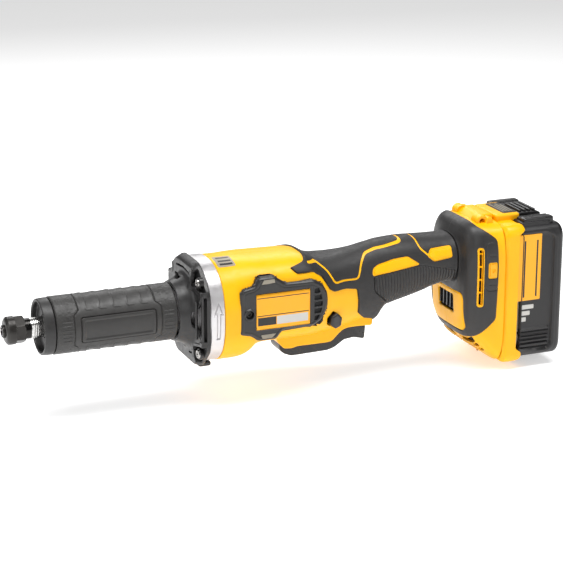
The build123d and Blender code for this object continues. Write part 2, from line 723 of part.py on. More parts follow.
with BuildPart() as battery_case:
    with BuildSketch(Plane.YZ.offset(PACK_JOIN)):
        with Locations((0, PACK_MIDDLE_Z)):
            RectangleRounded(2 * PACK_HALF_WIDTH, PACK_HEIGHT, PACK_CORNER_R)
    extrude(amount=PACK_REAR - PACK_JOIN)
    fillet(battery_case.faces().sort_by(Axis.X)[-1].edges(), 6.0)
    with BuildSketch(Plane.YZ.offset(PACK_JOIN - 1)):
        with Locations((0, PACK_MIDDLE_Z)):
            RectangleRounded(
                2 * (PACK_HALF_WIDTH - PACK_WALL), PACK_HEIGHT - 2 * PACK_WALL, PACK_CORNER_R - PACK_WALL
            )
    extrude(amount=PACK_REAR - PACK_JOIN + 1 - PACK_WALL, mode=Mode.SUBTRACT)
    # cheeks beside the latch, ribs on both sides, well for the latch, hole for the gauge button
    with Locations((436, 26, PACK_HIGH + 3.4), (436, -26, PACK_HIGH + 3.4)):
        Box(24, 14, 8)
    for sign in (-1, 1):
        for row in range(6):
            with Locations((441, sign * PACK_HALF_WIDTH, -54 + 4.6 * row)):
                Box(26, 1.2, 1.8)
    with Locations((434.2, 0, PACK_HIGH)):
        Box(24.6, 33, 12, mode=Mode.SUBTRACT)
    with Locations((442, 0, PACK_LOW)):
        Box(8.8, 16.8, 12, mode=Mode.SUBTRACT)
keep("battery_case", battery_case)

with BuildPart() as battery_cells:
    with Locations(Plane.XZ):
        with Locations((CELL_FIRST_X + CELL_PITCH / 2, PACK_MIDDLE_Z - 1.5)):
            with GridLocations(CELL_PITCH, CELL_PITCH, 2, CELL_ROWS):
                Cylinder(CELL_R, CELL_LENGTH)
keep("battery_cells", battery_cells)

with BuildPart() as cell_end_plates:
    for sign in (-1, 1):
        with BuildSketch(Plane.XZ.offset(sign * (CELL_LENGTH / 2 + 0.2))):
            with Locations((CELL_FIRST_X + CELL_PITCH / 2, PACK_MIDDLE_Z - 1.5)):
                Rectangle(34, 90)
                with GridLocations(CELL_PITCH, CELL_PITCH, 2, CELL_ROWS):
                    Circle(5, mode=Mode.SUBTRACT)
        extrude(amount=sign * 1.6)
keep("cell_end_plates", cell_end_plates)

with BuildPart() as battery_board:
    with Locations((418.2, 0, -15)):
        Box(1.6, 52, 76)
keep("battery_board", battery_board)

with BuildPart() as battery_terminals:
    with Locations((412.4, 0, -19)):
        with GridLocations(0, BLADE_SPACING, 1, 4):
            with Locations((0, -1.05, 0), (0, 1.05, 0)):
                Box(5.4, 0.5, 14)
keep("battery_terminals", battery_terminals)

with BuildPart() as battery_latch:
    with Locations((435, 0, PACK_HIGH + 3)):
        Box(21, 31, 9)
    with Locations((419, 0, PACK_HIGH - 0.6)):
        Box(12, 31, 1.8)
    for row in range(4):
        with Locations((428.5 + 4.4 * row, 0, PACK_HIGH + 7.9)):
            Box(1.8, 29, 1.2)
keep("battery_latch", battery_latch)

with BuildPart() as latch_spring:
    with BuildLine(Plane((419, 0, PACK_HIGH - 6.4))) as latch_coil:
        Helix(pitch=1.6, height=4.2, radius=2.4)
    with BuildSketch(Plane(origin=latch_coil.line @ 0, z_dir=latch_coil.line % 0)):
        Circle(0.3)
    sweep(path=latch_coil.line)
keep("latch_spring", latch_spring)

with BuildPart() as gauge_button:
    with Locations((442, 0, PACK_LOW + 1.2)):
        Box(8, 16, 2.8)
keep("gauge_button", gauge_button)

with BuildPart() as battery_screws:
    with Locations(Plane(origin=(PACK_JOIN - 3, 0, PACK_MIDDLE_Z), x_dir=(0, 1, 0), z_dir=(1, 0, 0))):
        with GridLocations(2 * PACK_HALF_WIDTH - 11, PACK_HEIGHT - 11, 2, 2):
            Cylinder(1.4, 10)
keep("battery_screws", battery_screws)
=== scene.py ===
import json
import math

import bmesh
import bpy
import numpy as np
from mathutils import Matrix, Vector


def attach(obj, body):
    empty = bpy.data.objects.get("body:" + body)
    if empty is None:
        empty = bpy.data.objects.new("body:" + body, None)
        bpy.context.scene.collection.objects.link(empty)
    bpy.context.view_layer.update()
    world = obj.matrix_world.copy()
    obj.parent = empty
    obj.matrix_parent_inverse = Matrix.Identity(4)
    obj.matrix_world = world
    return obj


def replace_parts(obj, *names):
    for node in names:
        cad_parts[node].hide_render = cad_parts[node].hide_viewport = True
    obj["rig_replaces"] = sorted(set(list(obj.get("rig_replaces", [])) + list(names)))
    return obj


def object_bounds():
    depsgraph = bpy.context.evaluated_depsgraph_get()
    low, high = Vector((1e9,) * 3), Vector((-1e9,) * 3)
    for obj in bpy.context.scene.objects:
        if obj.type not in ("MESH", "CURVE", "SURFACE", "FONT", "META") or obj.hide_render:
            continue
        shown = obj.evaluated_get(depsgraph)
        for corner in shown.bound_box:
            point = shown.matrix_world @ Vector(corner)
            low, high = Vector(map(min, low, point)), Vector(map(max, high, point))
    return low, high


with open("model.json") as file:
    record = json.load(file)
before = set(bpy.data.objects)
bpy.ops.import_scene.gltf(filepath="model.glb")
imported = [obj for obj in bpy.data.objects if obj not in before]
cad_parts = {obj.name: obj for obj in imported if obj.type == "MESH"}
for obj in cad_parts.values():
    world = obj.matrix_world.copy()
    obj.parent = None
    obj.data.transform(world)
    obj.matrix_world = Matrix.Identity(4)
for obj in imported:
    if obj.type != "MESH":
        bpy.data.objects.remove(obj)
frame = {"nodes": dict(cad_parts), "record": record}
cad_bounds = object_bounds()

# Lengths below are millimetres in the frame of the CAD model: +X runs from the collet to the battery and +Z
# is up. add_mesh() turns them into metres. Most outlines are (x, z) pairs, and hold for both sides.
MM = 0.001
SIDES = (("left", -1), ("right", 1))  # name and sign of y


# ---- Outlines and fields ----
def rounded(points, radius, closed=True, steps=5):
    """The outline with each corner turned into a small curve."""
    points = [np.array(p, float) for p in points]
    count, out = len(points), []
    for i, corner in enumerate(points):
        if not closed and i in (0, count - 1):
            out.append(corner)
            continue
        before, after = points[i - 1] - corner, points[(i + 1) % count] - corner
        reach = min(radius, 0.48 * np.linalg.norm(before), 0.48 * np.linalg.norm(after))
        start = corner + before / np.linalg.norm(before) * reach
        end = corner + after / np.linalg.norm(after) * reach
        for t in np.linspace(0, 1, steps):
            out.append((1 - t) ** 2 * start + 2 * t * (1 - t) * corner + t**2 * end)
    return np.array(out)


def rectangle(a0, b0, a1, b1, radius=1.0):
    return rounded([(a0, b0), (a1, b0), (a1, b1), (a0, b1)], radius)


def distance(path, a, b, closed=False):
    """Distance of the points (a, b) from a path."""
    path = np.asarray(path, float)
    best = np.full(np.shape(a), 1e9)
    ends = np.roll(path, -1, 0) if closed else path[1:]
    for p, q in zip(path if closed else path[:-1], ends):
        d = q - p
        t = np.clip(((a - p[0]) * d[0] + (b - p[1]) * d[1]) / max(d @ d, 1e-9), 0, 1)
        best = np.minimum(best, np.hypot(a - p[0] - t * d[0], b - p[1] - t * d[1]))
    return best


def inside(outline, a, b):
    """Signed distance from a closed outline, positive inside it."""
    outline = np.asarray(outline, float)
    within = np.zeros(np.shape(a), bool)
    for p, q in zip(outline, np.roll(outline, -1, 0)):
        crosses = (p[1] > b) != (q[1] > b)
        slope = (q[0] - p[0]) / (q[1] - p[1] if q[1] != p[1] else 1e-9)
        within ^= crosses & (a < p[0] + (b - p[1]) * slope)
    return np.where(within, 1.0, -1.0) * distance(outline, a, b, closed=True)


def box(a, b, *corners):
    """How far inside a rectangle the points (a, b) are."""
    return inside(rectangle(*corners), a, b)


def ease(t):
    t = np.clip(t, 0, 1)
    return t * t * (3 - 2 * t)


def turn(count):
    """Angles evenly round a circle."""
    return np.linspace(0, 2 * np.pi, count, endpoint=False)


def disc(a, b, radius, count):
    return [(a + radius * math.cos(t), b + radius * math.sin(t)) for t in turn(count)]


def axes(grid):
    return (grid[..., k] for k in range(3))


def only(where, field):
    """The field where it applies, and well outside it elsewhere."""
    return np.where(where, field, -9)


def stroke(path, a, b, reach, width, closed=False):
    """1 along a path and 0 beside it."""
    return ease(reach - distance(path, a, b, closed) / width)


def curve(x, xs, ys):
    """A smooth curve through the points (xs, ys) that never swings past them."""
    xs, ys = np.array(xs, float), np.array(ys, float)
    steps = np.diff(ys) / np.diff(xs)
    product = steps[:-1] * steps[1:]
    middle = np.where(product > 0, 2 * product / np.where(product > 0, steps[:-1] + steps[1:], 1), 0)
    slopes = np.concatenate([[steps[0]], middle, [steps[-1]]])
    i = np.clip(np.searchsorted(xs, x) - 1, 0, len(xs) - 2)
    width = xs[i + 1] - xs[i]
    t = np.clip((x - xs[i]) / width, 0, 1)
    return ((2 * t**3 - 3 * t**2 + 1) * ys[i] + (t**3 - 2 * t**2 + t) * width * slopes[i]
        + (3 * t**2 - 2 * t**3) * ys[i + 1] + (t**3 - t**2) * width * slopes[i + 1])


# ---- Mesh building ----
def add_mesh(name, points, faces, body, slot, materials, replaces=(), indices=None, outward=False):
    """A piece from points in millimetres and arrays of faces with the same number of corners each."""
    faces = [np.asarray(f) for f in faces if len(f)]
    mesh = bpy.data.meshes.new(name)
    mesh.vertices.add(len(points))
    mesh.vertices.foreach_set("co", (np.asarray(points, float)[:, :3] * MM).ravel())
    totals = np.concatenate([np.full(len(f), f.shape[1]) for f in faces])
    corners = np.concatenate([f.ravel() for f in faces])
    mesh.loops.add(len(corners))
    mesh.loops.foreach_set("vertex_index", corners.astype(np.int32))
    mesh.polygons.add(len(totals))
    starts = np.concatenate([[0], np.cumsum(totals)[:-1]])
    mesh.polygons.foreach_set("loop_start", starts.astype(np.int32))
    for material in materials if isinstance(materials, (list, tuple)) else [materials]:
        mesh.materials.append(material)
    if indices is not None:
        mesh.polygons.foreach_set("material_index", np.asarray(indices, np.int32))
    mesh.update(calc_edges=True)
    mesh.validate()
    mesh.shade_smooth()
    mesh.set_sharp_from_angle(angle=math.radians(35))
    piece = bpy.data.objects.new(name, mesh)
    bpy.context.scene.collection.objects.link(piece)
    if outward:
        work = bmesh.new()
        work.from_mesh(mesh)
        bmesh.ops.recalc_face_normals(work, faces=work.faces)
        work.to_mesh(mesh)
        work.free()
    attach(piece, body)
    if replaces:
        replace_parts(piece, *replaces)
    return piece


def modifier(piece, kind, **settings):
    made = piece.modifiers.new(kind.title(), kind)
    for key, value in settings.items():
        setattr(made, key, value)


def quads(rows, columns, wrap=True):
    """Faces of a grid of points, row by row. wrap joins the last column to the first."""
    across = np.arange(columns if wrap else columns - 1)
    i, j = np.meshgrid(np.arange(rows - 1), across, indexing="ij")
    k = (j + 1) % columns
    corners = [i * columns + j, i * columns + k, (i + 1) * columns + k, (i + 1) * columns + j]
    return np.stack(corners, -1).reshape(-1, 4)


def split_quads(four):
    return np.concatenate([four[:, [0, 1, 2]], four[:, [0, 2, 3]]])


def normals(grid, wrap=True):
    """Outward normals of a grid of points [row, column, xyz] whose rows go along +X."""
    along = np.gradient(grid, axis=0)
    across = np.roll(grid, -1, 1) - np.roll(grid, 1, 1) if wrap else np.gradient(grid, axis=1)
    found = -np.cross(along, across)
    return found / np.maximum(np.linalg.norm(found, axis=-1, keepdims=True), 1e-9)


def clip(points, triangles, field):
    """The part of a triangle mesh where field is positive, cut cleanly along the line where it is zero.
    Every column of points is carried over to the new points."""
    keep = field > 0
    count = keep[triangles].sum(1)
    whole = triangles[count == 3]
    edges, made, base = {}, [], len(points)

    def cut(a, b):
        key = (min(a, b), max(a, b))
        if key not in edges:
            t = field[a] / (field[a] - field[b])
            edges[key] = base + len(made)
            made.append(points[a] + (points[b] - points[a]) * t)
        return edges[key]

    extra = []
    for triangle in triangles[(count == 1) | (count == 2)]:
        flags = keep[triangle]
        lone = int(np.argmax(flags)) if flags.sum() == 1 else int(np.argmin(flags))
        a, b, c = (int(triangle[(lone + s) % 3]) for s in range(3))
        if flags.sum() == 1:
            extra.append((a, cut(a, b), cut(a, c)))
        else:
            extra.append((b, c, cut(a, c)))
            extra.append((b, cut(a, c), cut(a, b)))
    points = np.concatenate([points, np.array(made).reshape(-1, points.shape[1])])
    triangles = np.concatenate([whole, np.array(extra, int).reshape(-1, 3)])
    used, triangles = np.unique(triangles, return_inverse=True)
    return points[used], triangles.reshape(-1, 3)


SEAM = 0.06  # half of the gap between a left and a right half


def skin(name, grid, field, body, slot, material, replaces=(), thickness=1.2, wrap=True, split=True,
        index=None):
    """A skin with its own thickness on a grid of points, kept where field is positive. split makes one
    piece for each side of the middle plane. index(points) gives each face's material."""
    points = np.concatenate([grid.reshape(-1, 3), field.reshape(-1, 1)], 1)
    triangles = split_quads(quads(*grid.shape[:2], wrap))
    if field.min() <= 0:
        points, triangles = clip(points, triangles, points[:, 3])
    made = []
    for side, sign in SIDES if split else (("", 0),):
        p, t = clip(points, triangles, sign * points[:, 1] - SEAM) if split else (points, triangles)
        piece = add_mesh(f"{name}_{side}" if split else name, p, [t], body, slot, material,
            [f"{r}_{side}" for r in replaces] if split else replaces,
            indices=index(p[t].mean(1)) if index else None)
        modifier(piece, "SOLIDIFY", thickness=thickness * MM, offset=-1)
        made.append(piece)
    return made


def pad(name, grid, field, height, edge, *rest, relief=0, **settings):
    """A raised skin where field is positive, which swells to its height over the width edge."""
    lift = height * ease(field / edge) - 0.15 * (1 - ease(field / edge)) + relief
    return skin(name, grid + normals(grid) * lift[..., None], field, *rest, **settings)


def turned(name, outline, body, slot, material, replaces=(), columns=96, shape=None, index=None):
    """A closed piece turned about the spindle axis. shape(x, radius, angle) may change the radius."""
    outline = np.array(outline, float)
    outline = np.concatenate([outline, outline[:1]])
    angle = turn(columns)
    x = np.repeat(outline[:, :1], columns, 1)
    radius = np.repeat(outline[:, 1:], columns, 1)
    if shape:
        radius = shape(x, radius, angle[None, :])
    grid = np.stack([x, radius * np.cos(angle), radius * np.sin(angle)], -1)
    faces = quads(len(outline), columns)
    points = grid.reshape(-1, 3)
    indices = index(points[faces].mean(1)) if index else None
    return add_mesh(name, points, [faces], body, slot, material, replaces, indices, outward=True)


def slab(name, outline, low, high, body, slot, material, axis="Y", bevel=0.6, replaces=(), segments=3):
    """A flat piece with rounded edges: an outline in (x, z) between two levels of y, and in (x, y) for axis
    Z or in (y, z) for axis X likewise."""
    order = {"Y": (0, 2, 1), "Z": (0, 1, 2), "X": (1, 2, 0)}[axis]
    outline = np.asarray(outline, float)
    count = len(outline)
    points = np.zeros((2 * count, 3))
    for level, start in ((low, 0), (high, count)):
        points[start:start + count, order[0]] = outline[:, 0]
        points[start:start + count, order[1]] = outline[:, 1]
        points[start:start + count, order[2]] = level
    bottom = np.arange(count)[None, :]
    sides = np.array([(i, i + count, (i + 1) % count + count, (i + 1) % count) for i in range(count)])
    faces = [bottom, bottom[:, ::-1] + count, sides]
    piece = add_mesh(name, points, faces, body, slot, material, replaces, outward=True)
    if bevel:
        modifier(piece, "BEVEL", width=bevel * MM, segments=segments, limit_method="ANGLE",
            angle_limit=math.radians(40))
    return piece


def join(name, pieces):
    """One piece from several that ride on the same body."""
    bpy.context.view_layer.update()
    depsgraph = bpy.context.evaluated_depsgraph_get()
    work = bmesh.new()
    materials = []
    for piece in pieces:
        start = len(work.faces)
        work.from_object(piece, depsgraph)
        work.faces.ensure_lookup_table()
        for face in work.faces[start:]:
            material = piece.data.materials[min(face.material_index, len(piece.data.materials) - 1)]
            if material not in materials:
                materials.append(material)
            face.material_index = materials.index(material)
    first = pieces[0]
    for piece in pieces[1:]:
        for node in piece.get("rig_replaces", []):
            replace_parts(first, node)
        bpy.data.objects.remove(piece)
    first.modifiers.clear()
    first.data.materials.clear()
    for material in materials:
        first.data.materials.append(material)
    work.to_mesh(first.data)
    work.free()
    first.name = name
    first.data.name = name
    return first


def screw_head(name, centre, axis, radius, height, material):
    """A pan head with a six-lobed socket. It stands on centre and points along axis."""
    columns = 60
    angle = turn(columns)
    lobes = 1 + 0.16 * np.cos(6 * angle)
    rows = [(1, -0.4, 0), (1, 0.5, 0), (0.93, 0.85, 0), (0.75, 1, 0), (0.56, 1, 1), (0.5, 0.9, 1),
        (0.46, -0.1, 1), (0.02, -0.15, 0)]
    axis = Vector(axis).normalized()
    across = axis.orthogonal().normalized()
    up = axis.cross(across)
    points = []
    for share, level, star in rows:
        reach = radius * share * (lobes if star else 1)
        flat = np.outer(reach * np.cos(angle), across) + np.outer(reach * np.sin(angle), up)
        points.append(np.array(centre) + flat + height * level * np.array(axis))
    bottom = np.arange(columns)[None, ::-1]
    top = bottom[:, ::-1] + columns * (len(rows) - 1)
    faces = [quads(len(rows), columns), bottom, top]
    return add_mesh(name, np.concatenate(points), faces, "housing", "zinc_screw", material, outward=True)


# ---- Materials ----
def linear(red, green, blue):
    """A colour given in 0 to 255, as the linear colour of the shader."""
    levels = [c / 255 for c in (red, green, blue)]
    return [c / 12.92 if c <= 0.04045 else ((c + 0.055) / 1.055) ** 2.4 for c in levels]


def finish(name, colour, rough, metal=0.0, mottle=0.05, grain=(1200, 0.03), pebble=None, lines=None,
        wear=0.0, specular=0.5, rough_swing=0.08, painted_reflection_before=None):
    """A procedural material. Scales are features per metre and depths are millimetres. grain is a fine
    noise, pebble a leather of small cells, lines a set of fine ridges along one axis (axis, scale, depth).
    wear lightens the edges. The last argument is the narrow range of x in which a painted dark reflection
    turns into the colour."""
    made = bpy.data.materials.new(name)
    made.use_nodes = True
    nodes, links = made.node_tree.nodes, made.node_tree.links
    shader = nodes["Principled BSDF"]

    def feed(node, inputs):
        for key, value in inputs.items():
            if isinstance(value, bpy.types.NodeSocket):
                links.new(value, node.inputs[key])
            else:
                node.inputs[key].default_value = value

    def node(kind, inputs, **settings):
        added = nodes.new("ShaderNode" + kind)
        for key, value in settings.items():
            setattr(added, key, value)
        feed(added, inputs)
        return added.outputs

    place = node("TexCoord", {})["Object"]

    def noise(scale, detail=3.0):
        return node("TexNoise", {"Scale": scale, "Detail": detail, "Vector": place})["Fac"]

    def mapped(value, low, high, start=0.3, stop=0.7):
        inputs = {"Value": value, "From Min": start, "From Max": stop, "To Min": low, "To Max": high}
        return node("MapRange", inputs)["Result"]

    def mixed(factor, first, second):
        return node("Mix", {0: factor, 6: first, 7: second}, data_type="RGBA")[2]

    base = linear(*colour)
    dark, light = [c * (1 - mottle) for c in base] + [1], [min(1, c * (1 + mottle)) for c in base] + [1]
    shade = mixed(mapped(noise(45), 0, 1), dark, light)
    if wear:
        edges = mapped(node("NewGeometry", {})["Pointiness"], 0, wear, 0.52, 0.62)
        shade = mixed(edges, shade, [min(1, c * 1.6 + 0.05) for c in base] + [1])
    # painted reflection: near black in front of the given x, standing in for the dark reflection in a steel
    # flat
    if painted_reflection_before:
        along = mapped(node("SeparateXYZ", {0: place})["X"], 0, 1, *painted_reflection_before)
        shade = mixed(along, (0.03, 0.029, 0.028, 1), shade)
    bumps = []
    if pebble:
        cells = node("TexVoronoi", {"Scale": pebble[0], "Randomness": 1.0, "Vector": place},
            feature="SMOOTH_F1")
        bumps.append((mapped(cells["Distance"], 1, 0, 0.15, 0.7), pebble[1]))
    if lines:
        wave = node("TexWave", {"Scale": lines[1] / 6.283, "Vector": place}, bands_direction=lines[0])
        bumps.append((wave["Fac"], lines[2]))
    bumps.append((noise(grain[0], 4.0), grain[1]))
    normal = {}
    for height, depth in bumps:
        inputs = {"Strength": 1.0, "Distance": depth * MM, "Height": height}
        normal = {"Normal": node("Bump", inputs | normal)["Normal"]}
    feed(shader, normal | {
        "Metallic": metal, "Specular IOR Level": specular, "Base Color": shade,
        "Roughness": mapped(noise(260), rough - rough_swing, rough + rough_swing),
    })
    return made


YELLOW = finish("yellow plastic", (250, 181, 0), 0.36, mottle=0.03, grain=(1500, 0.012), specular=0.3)
YELLOW_SATIN = finish("yellow sheet", (248, 172, 10), 0.42, mottle=0.02, grain=(900, 0.01))
RUBBER = finish("grip rubber", (40, 39, 39), 0.5, mottle=0.08, grain=(1700, 0.06), pebble=(1000, 0.05),
    specular=0.4)
RUBBER_SMOOTH = finish("smooth rubber", (40, 39, 39), 0.44, mottle=0.08, grain=(1500, 0.02), specular=0.45)
BOOT_SKIN = finish("boot rubber", (50, 49, 48), 0.44, mottle=0.07, grain=(1400, 0.02), specular=0.45)
BOOT_PEBBLE = finish("boot pebble", (48, 47, 46), 0.46, mottle=0.08, grain=(1600, 0.04), pebble=(620, 0.16),
    specular=0.45)
DARK = finish("dark plastic", (34, 33, 33), 0.38, mottle=0.06, grain=(1300, 0.03), wear=0.25)
BLACK = finish("black plastic", (22, 21, 21), 0.32, mottle=0.08, grain=(1500, 0.02), wear=0.2)
SATIN_BLACK = finish("battery black", (22, 21, 22), 0.4, mottle=0.06, grain=(1500, 0.02), rough_swing=0.04)
# painted shade: a near black for holes, vents and windows, standing in for the shade that falls in them
PAINTED_SHADE_BLACK = finish("painted shade black", (10, 10, 10), 0.7, mottle=0.1, grain=(900, 0.03))
ALLOY = finish("cast alloy", (205, 203, 204), 0.36, metal=0.75, mottle=0.05, grain=(2600, 0.03),
    rough_swing=0.07)
STEEL = finish("bright steel", (214, 213, 211), 0.2, metal=1.0, mottle=0.04, grain=(900, 0.006),
    lines=("X", 3500, 0.004))
BLACK_STEEL = finish("black steel", (46, 44, 42), 0.36, metal=0.55, mottle=0.12, grain=(1300, 0.02),
    wear=0.5)
ZINC = finish("zinc screw", (170, 168, 165), 0.26, metal=1.0, mottle=0.1, grain=(1500, 0.01), wear=0.3)
# The front of the spindle is painted near black: a painted reflection of dark surroundings in its flat.
SPINDLE_STEEL = finish("spindle steel", (214, 213, 211), 0.2, metal=1.0, mottle=0.04, grain=(900, 0.006),
    lines=("X", 1500, 0.05), painted_reflection_before=(0.0214, 0.0217))
GREY_INLAY = finish("grey inlay", (146, 139, 124), 0.5, mottle=0.1, grain=(1200, 0.05))
PALE_PRINT = finish("pale print", (196, 194, 190), 0.45, mottle=0.04, grain=(900, 0.01))
DARK_PRINT = finish("dark print", (26, 24, 22), 0.4, mottle=0.05, grain=(900, 0.01))
SLOTS = {
    "yellow_plastic": YELLOW, "soft_grip": RUBBER, "boot_rubber": BOOT_SKIN, "dark_plastic": DARK,
    "black_plastic": BLACK, "cast_alloy": ALLOY, "bright_steel": STEEL, "black_steel": BLACK_STEEL,
    "zinc_screw": ZINC, "label_sheet": YELLOW_SATIN, "inlay_plastic": GREY_INLAY,
    "spring_steel": finish("spring steel", (150, 150, 152), 0.25, metal=1.0, grain=(1500, 0.01)),
    "lamination": finish("laminated steel", (120, 118, 120), 0.4, metal=0.9, lines=("X", 2500, 0.05)),
    "magnet": finish("sintered magnet", (90, 90, 95), 0.3, metal=0.9, grain=(1300, 0.02)),
    "copper_wire": finish("enamelled copper", (176, 84, 40), 0.28, metal=0.9, lines=("DIAGONAL", 1800, 0.1)),
    "copper_blade": finish("tinned copper", (200, 180, 150), 0.25, metal=1.0, grain=(900, 0.01)),
    "circuit_board": finish("circuit board", (20, 84, 44), 0.35, grain=(700, 0.04)),
    "potting": finish("potting compound", (32, 32, 34), 0.25, grain=(300, 0.05)),
    "cell_sleeve": finish("cell sleeve", (40, 96, 128), 0.3, grain=(500, 0.02)),
    "insulator": finish("insulator", (206, 202, 190), 0.5, grain=(900, 0.02)),
    "lead_insulation": finish("lead insulation", (150, 26, 24), 0.4, grain=(900, 0.02)),
}

# body, slot and material of the commonest looks
HOUSING_YELLOW = ("housing", "yellow_plastic", YELLOW)
HOUSING_DARK = ("housing", "dark_plastic", DARK)
BATTERY_YELLOW = ("battery", "yellow_plastic", YELLOW)
BATTERY_BLACK = ("battery", "black_plastic", BLACK)
BATTERY_SATIN = ("battery", "black_plastic", SATIN_BLACK)
BATTERY_PRINT = ("battery", "label_sheet", DARK_PRINT)
LATCH_BLACK = ("battery_latch", "black_plastic", BLACK)


# ---- Collet nut ----
NUT_FRONT, NUT_BACK, NUT_R, HALF_FLATS, FLATS_FROM = 2.1, 17.0, 10.9, 9.5, 9.2


def nut_shape(x, radius, angle):
    """Six flats behind FLATS_FROM, which leave the rim in front of them round."""
    flat = HALF_FLATS / np.cos((angle + math.pi / 6) % (math.pi / 3) - math.pi / 6)
    return np.where((x > FLATS_FROM) & (radius > 7), np.minimum(radius, flat), radius)


def make_nut():
    outline = [(NUT_FRONT, 5.2), (NUT_FRONT - 0.1, 6.2), (NUT_FRONT + 0.1, 8.4), (NUT_FRONT + 0.9, 9.8),
        (NUT_FRONT + 2.0, NUT_R)]
    outline += [(x, NUT_R) for x in np.linspace(7, FLATS_FROM, 4)]
    outline += [(x, NUT_R) for x in np.linspace(FLATS_FROM + 0.25, NUT_BACK - 1.2, 12)]
    outline += [(NUT_BACK - 0.4, 10.1), (NUT_BACK, 9.4), (NUT_BACK, 6.9), (NUT_BACK - 6, 6.9),
        (NUT_BACK - 7, 5.2)]
    turned("nut", outline, "collet_nut", "black_steel", BLACK_STEEL, ["collet_nut"], 240, nut_shape)


# ---- Boot ----
BOOT_R, CAP_FRONT, GROOVE, BOOT_BACK = 22.5, 28.2, 37.0, 133.6
BAND_FRONT, BAND_BACK = 55.4, 116.4  # the seams of the smooth middle over the top
NOTCH = 4.2  # how far the seams move outwards beside the panel
PANEL = rectangle(56.4, -10.2, 115.8, 10.2, 2.2)
PANEL_LIP = rectangle(59.0, -7.6, 113.2, 7.6, 1.4)
MARK_FIRST, MARK_PITCH, MARKS = 61.2, 11.0, 5


def boot_fields(x, angle):
    """Arc height above the side line, then how far inside the middle and inside the panel a point is."""
    around = BOOT_R * np.arctan2(np.sin(angle), np.abs(np.cos(angle)))
    step = NOTCH * (1 - ease((np.abs(around) - 11.5) / 5.5))
    middle = np.minimum(x - BAND_FRONT + step, BAND_BACK + step - x)
    return around, middle, inside(PANEL, x, around)


def groove(field, width, depth):
    return -depth * ease(1 - np.abs(field) / width)


def boot_shape(x, radius, angle):
    outer = radius > BOOT_R - 3
    x, angle = np.broadcast_arrays(x, angle)
    around, middle, panel = boot_fields(x, angle)
    lift = groove(middle, 0.7, 0.75) + np.where(middle > 0, 0.12 * ease(middle / 3), 0)
    lift = lift + groove(panel, 0.65, 0.9)
    lift = lift + 0.5 * ease(panel / 0.8) * (1 - ease((inside(PANEL_LIP, x, around) + 0.4) / 0.8))
    lift = lift - 0.35 * ease((inside(PANEL_LIP, x, around) - 0.2) / 0.8)
    height = np.abs(around)
    fingers = ease((height - 15.4) / 1.2) * ease((middle - 1.5) / 2)
    phase = (x - MARK_FIRST) / MARK_PITCH
    lift = lift - 0.4 * fingers * np.abs(np.sin(np.pi * phase)) * ease((height - 17) / 8)
    for n in range(MARKS):
        left = MARK_FIRST + n * MARK_PITCH
        mark = [(left + 2.0, 30.5), (left, 17.2), (left + 0.7, 16.0), (left + 5.2, 15.8)]
        lift = lift + 0.25 * stroke(mark, x, height, 1.6, 0.45)
    for start, stop in ((42.0, 49.6), (122.8, 130.2)):
        for level in (-7.6, -4.6, -1.5, 1.5, 4.6, 7.6):
            lift = lift + 0.3 * stroke([(start, level), (stop, level)], x, around, 1.5, 0.35)
    ends = ease((x - GROOVE - 0.4) / 0.8) * ease((BOOT_BACK - x) / 0.8)
    # the side panels are a little flatter than the round of the boot
    flatten = BOOT_R * (1 / np.maximum(np.cos(np.clip(around / BOOT_R, -0.46, 0.46)), 0.5) - 1)
    lift = lift - 0.25 * ease(panel / 3) * (0.9 - flatten)
    return np.where(outer, radius - 0.7 * (1 - ends) + lift * ends, radius)


def make_boot():
    steps = np.arange(GROOVE + 0.35, BOOT_BACK + 0.01, 0.42)
    outline = [(x, BOOT_R) for x in steps] + [(BOOT_BACK, 18.2), (GROOVE + 0.35, 18.2)]

    def band(centres):
        angle = np.arctan2(centres[:, 2], centres[:, 1])
        return (boot_fields(centres[:, 0], angle)[1] < 0).astype(int)

    turned("boot_grip", outline, "housing", "boot_rubber", [BOOT_SKIN, BOOT_PEBBLE], ["boot"], 384,
        boot_shape, band)
    lip = [(CAP_FRONT + 1.2 - 1.2 * math.cos(t), 20.6 + 1.2 * math.sin(t))
        for t in np.linspace(-1.5, 1.5, 11)]
    outline = [(33.0, 9.3), (32.8, 9.9), (32.8, 18.4), (32.2, 19.2), (CAP_FRONT + 1.4, 19.4)] + lip
    outline += [(31.5, 22.0), (GROOVE - 0.9, 22.1), (GROOVE - 0.2, 21.5), (GROOVE, 20.8),
        (GROOVE + 0.3, 20.4), (52, 18.0), (52, 17.2), (36, 17.2), (36, 9.3)]
    turned("boot_front_cap", outline, "housing", "boot_rubber", RUBBER_SMOOTH, ["boot_cap"], 160)


# ---- Vent cover, ring and screws ----
def section(half, low, high, power, angle):
    """(y, z) of a rounded section at these angles."""
    centre, reach = (low + high) / 2, (high - low) / 2
    ray = (np.abs(np.cos(angle) / half) ** power + np.abs(np.sin(angle) / reach) ** power) ** (-1 / power)
    return ray * np.cos(angle), centre + ray * np.sin(angle)


RING_FRONT, RING_BACK, RING_HALF, RING_POWER = 153.2, 165.2, 40.7, 2.4
COVER_FACE, NECK, NECK_R, FLARE_R = 146.4, 134.4, 23.6, 33.0
ARROW = [(-3.1, -14.5), (-3.1, 6.2), (-5.6, 4.8), (-1.6, 14.0), (1.5, 5.0), (-0.6, 6.0), (-0.6, -14.5)]


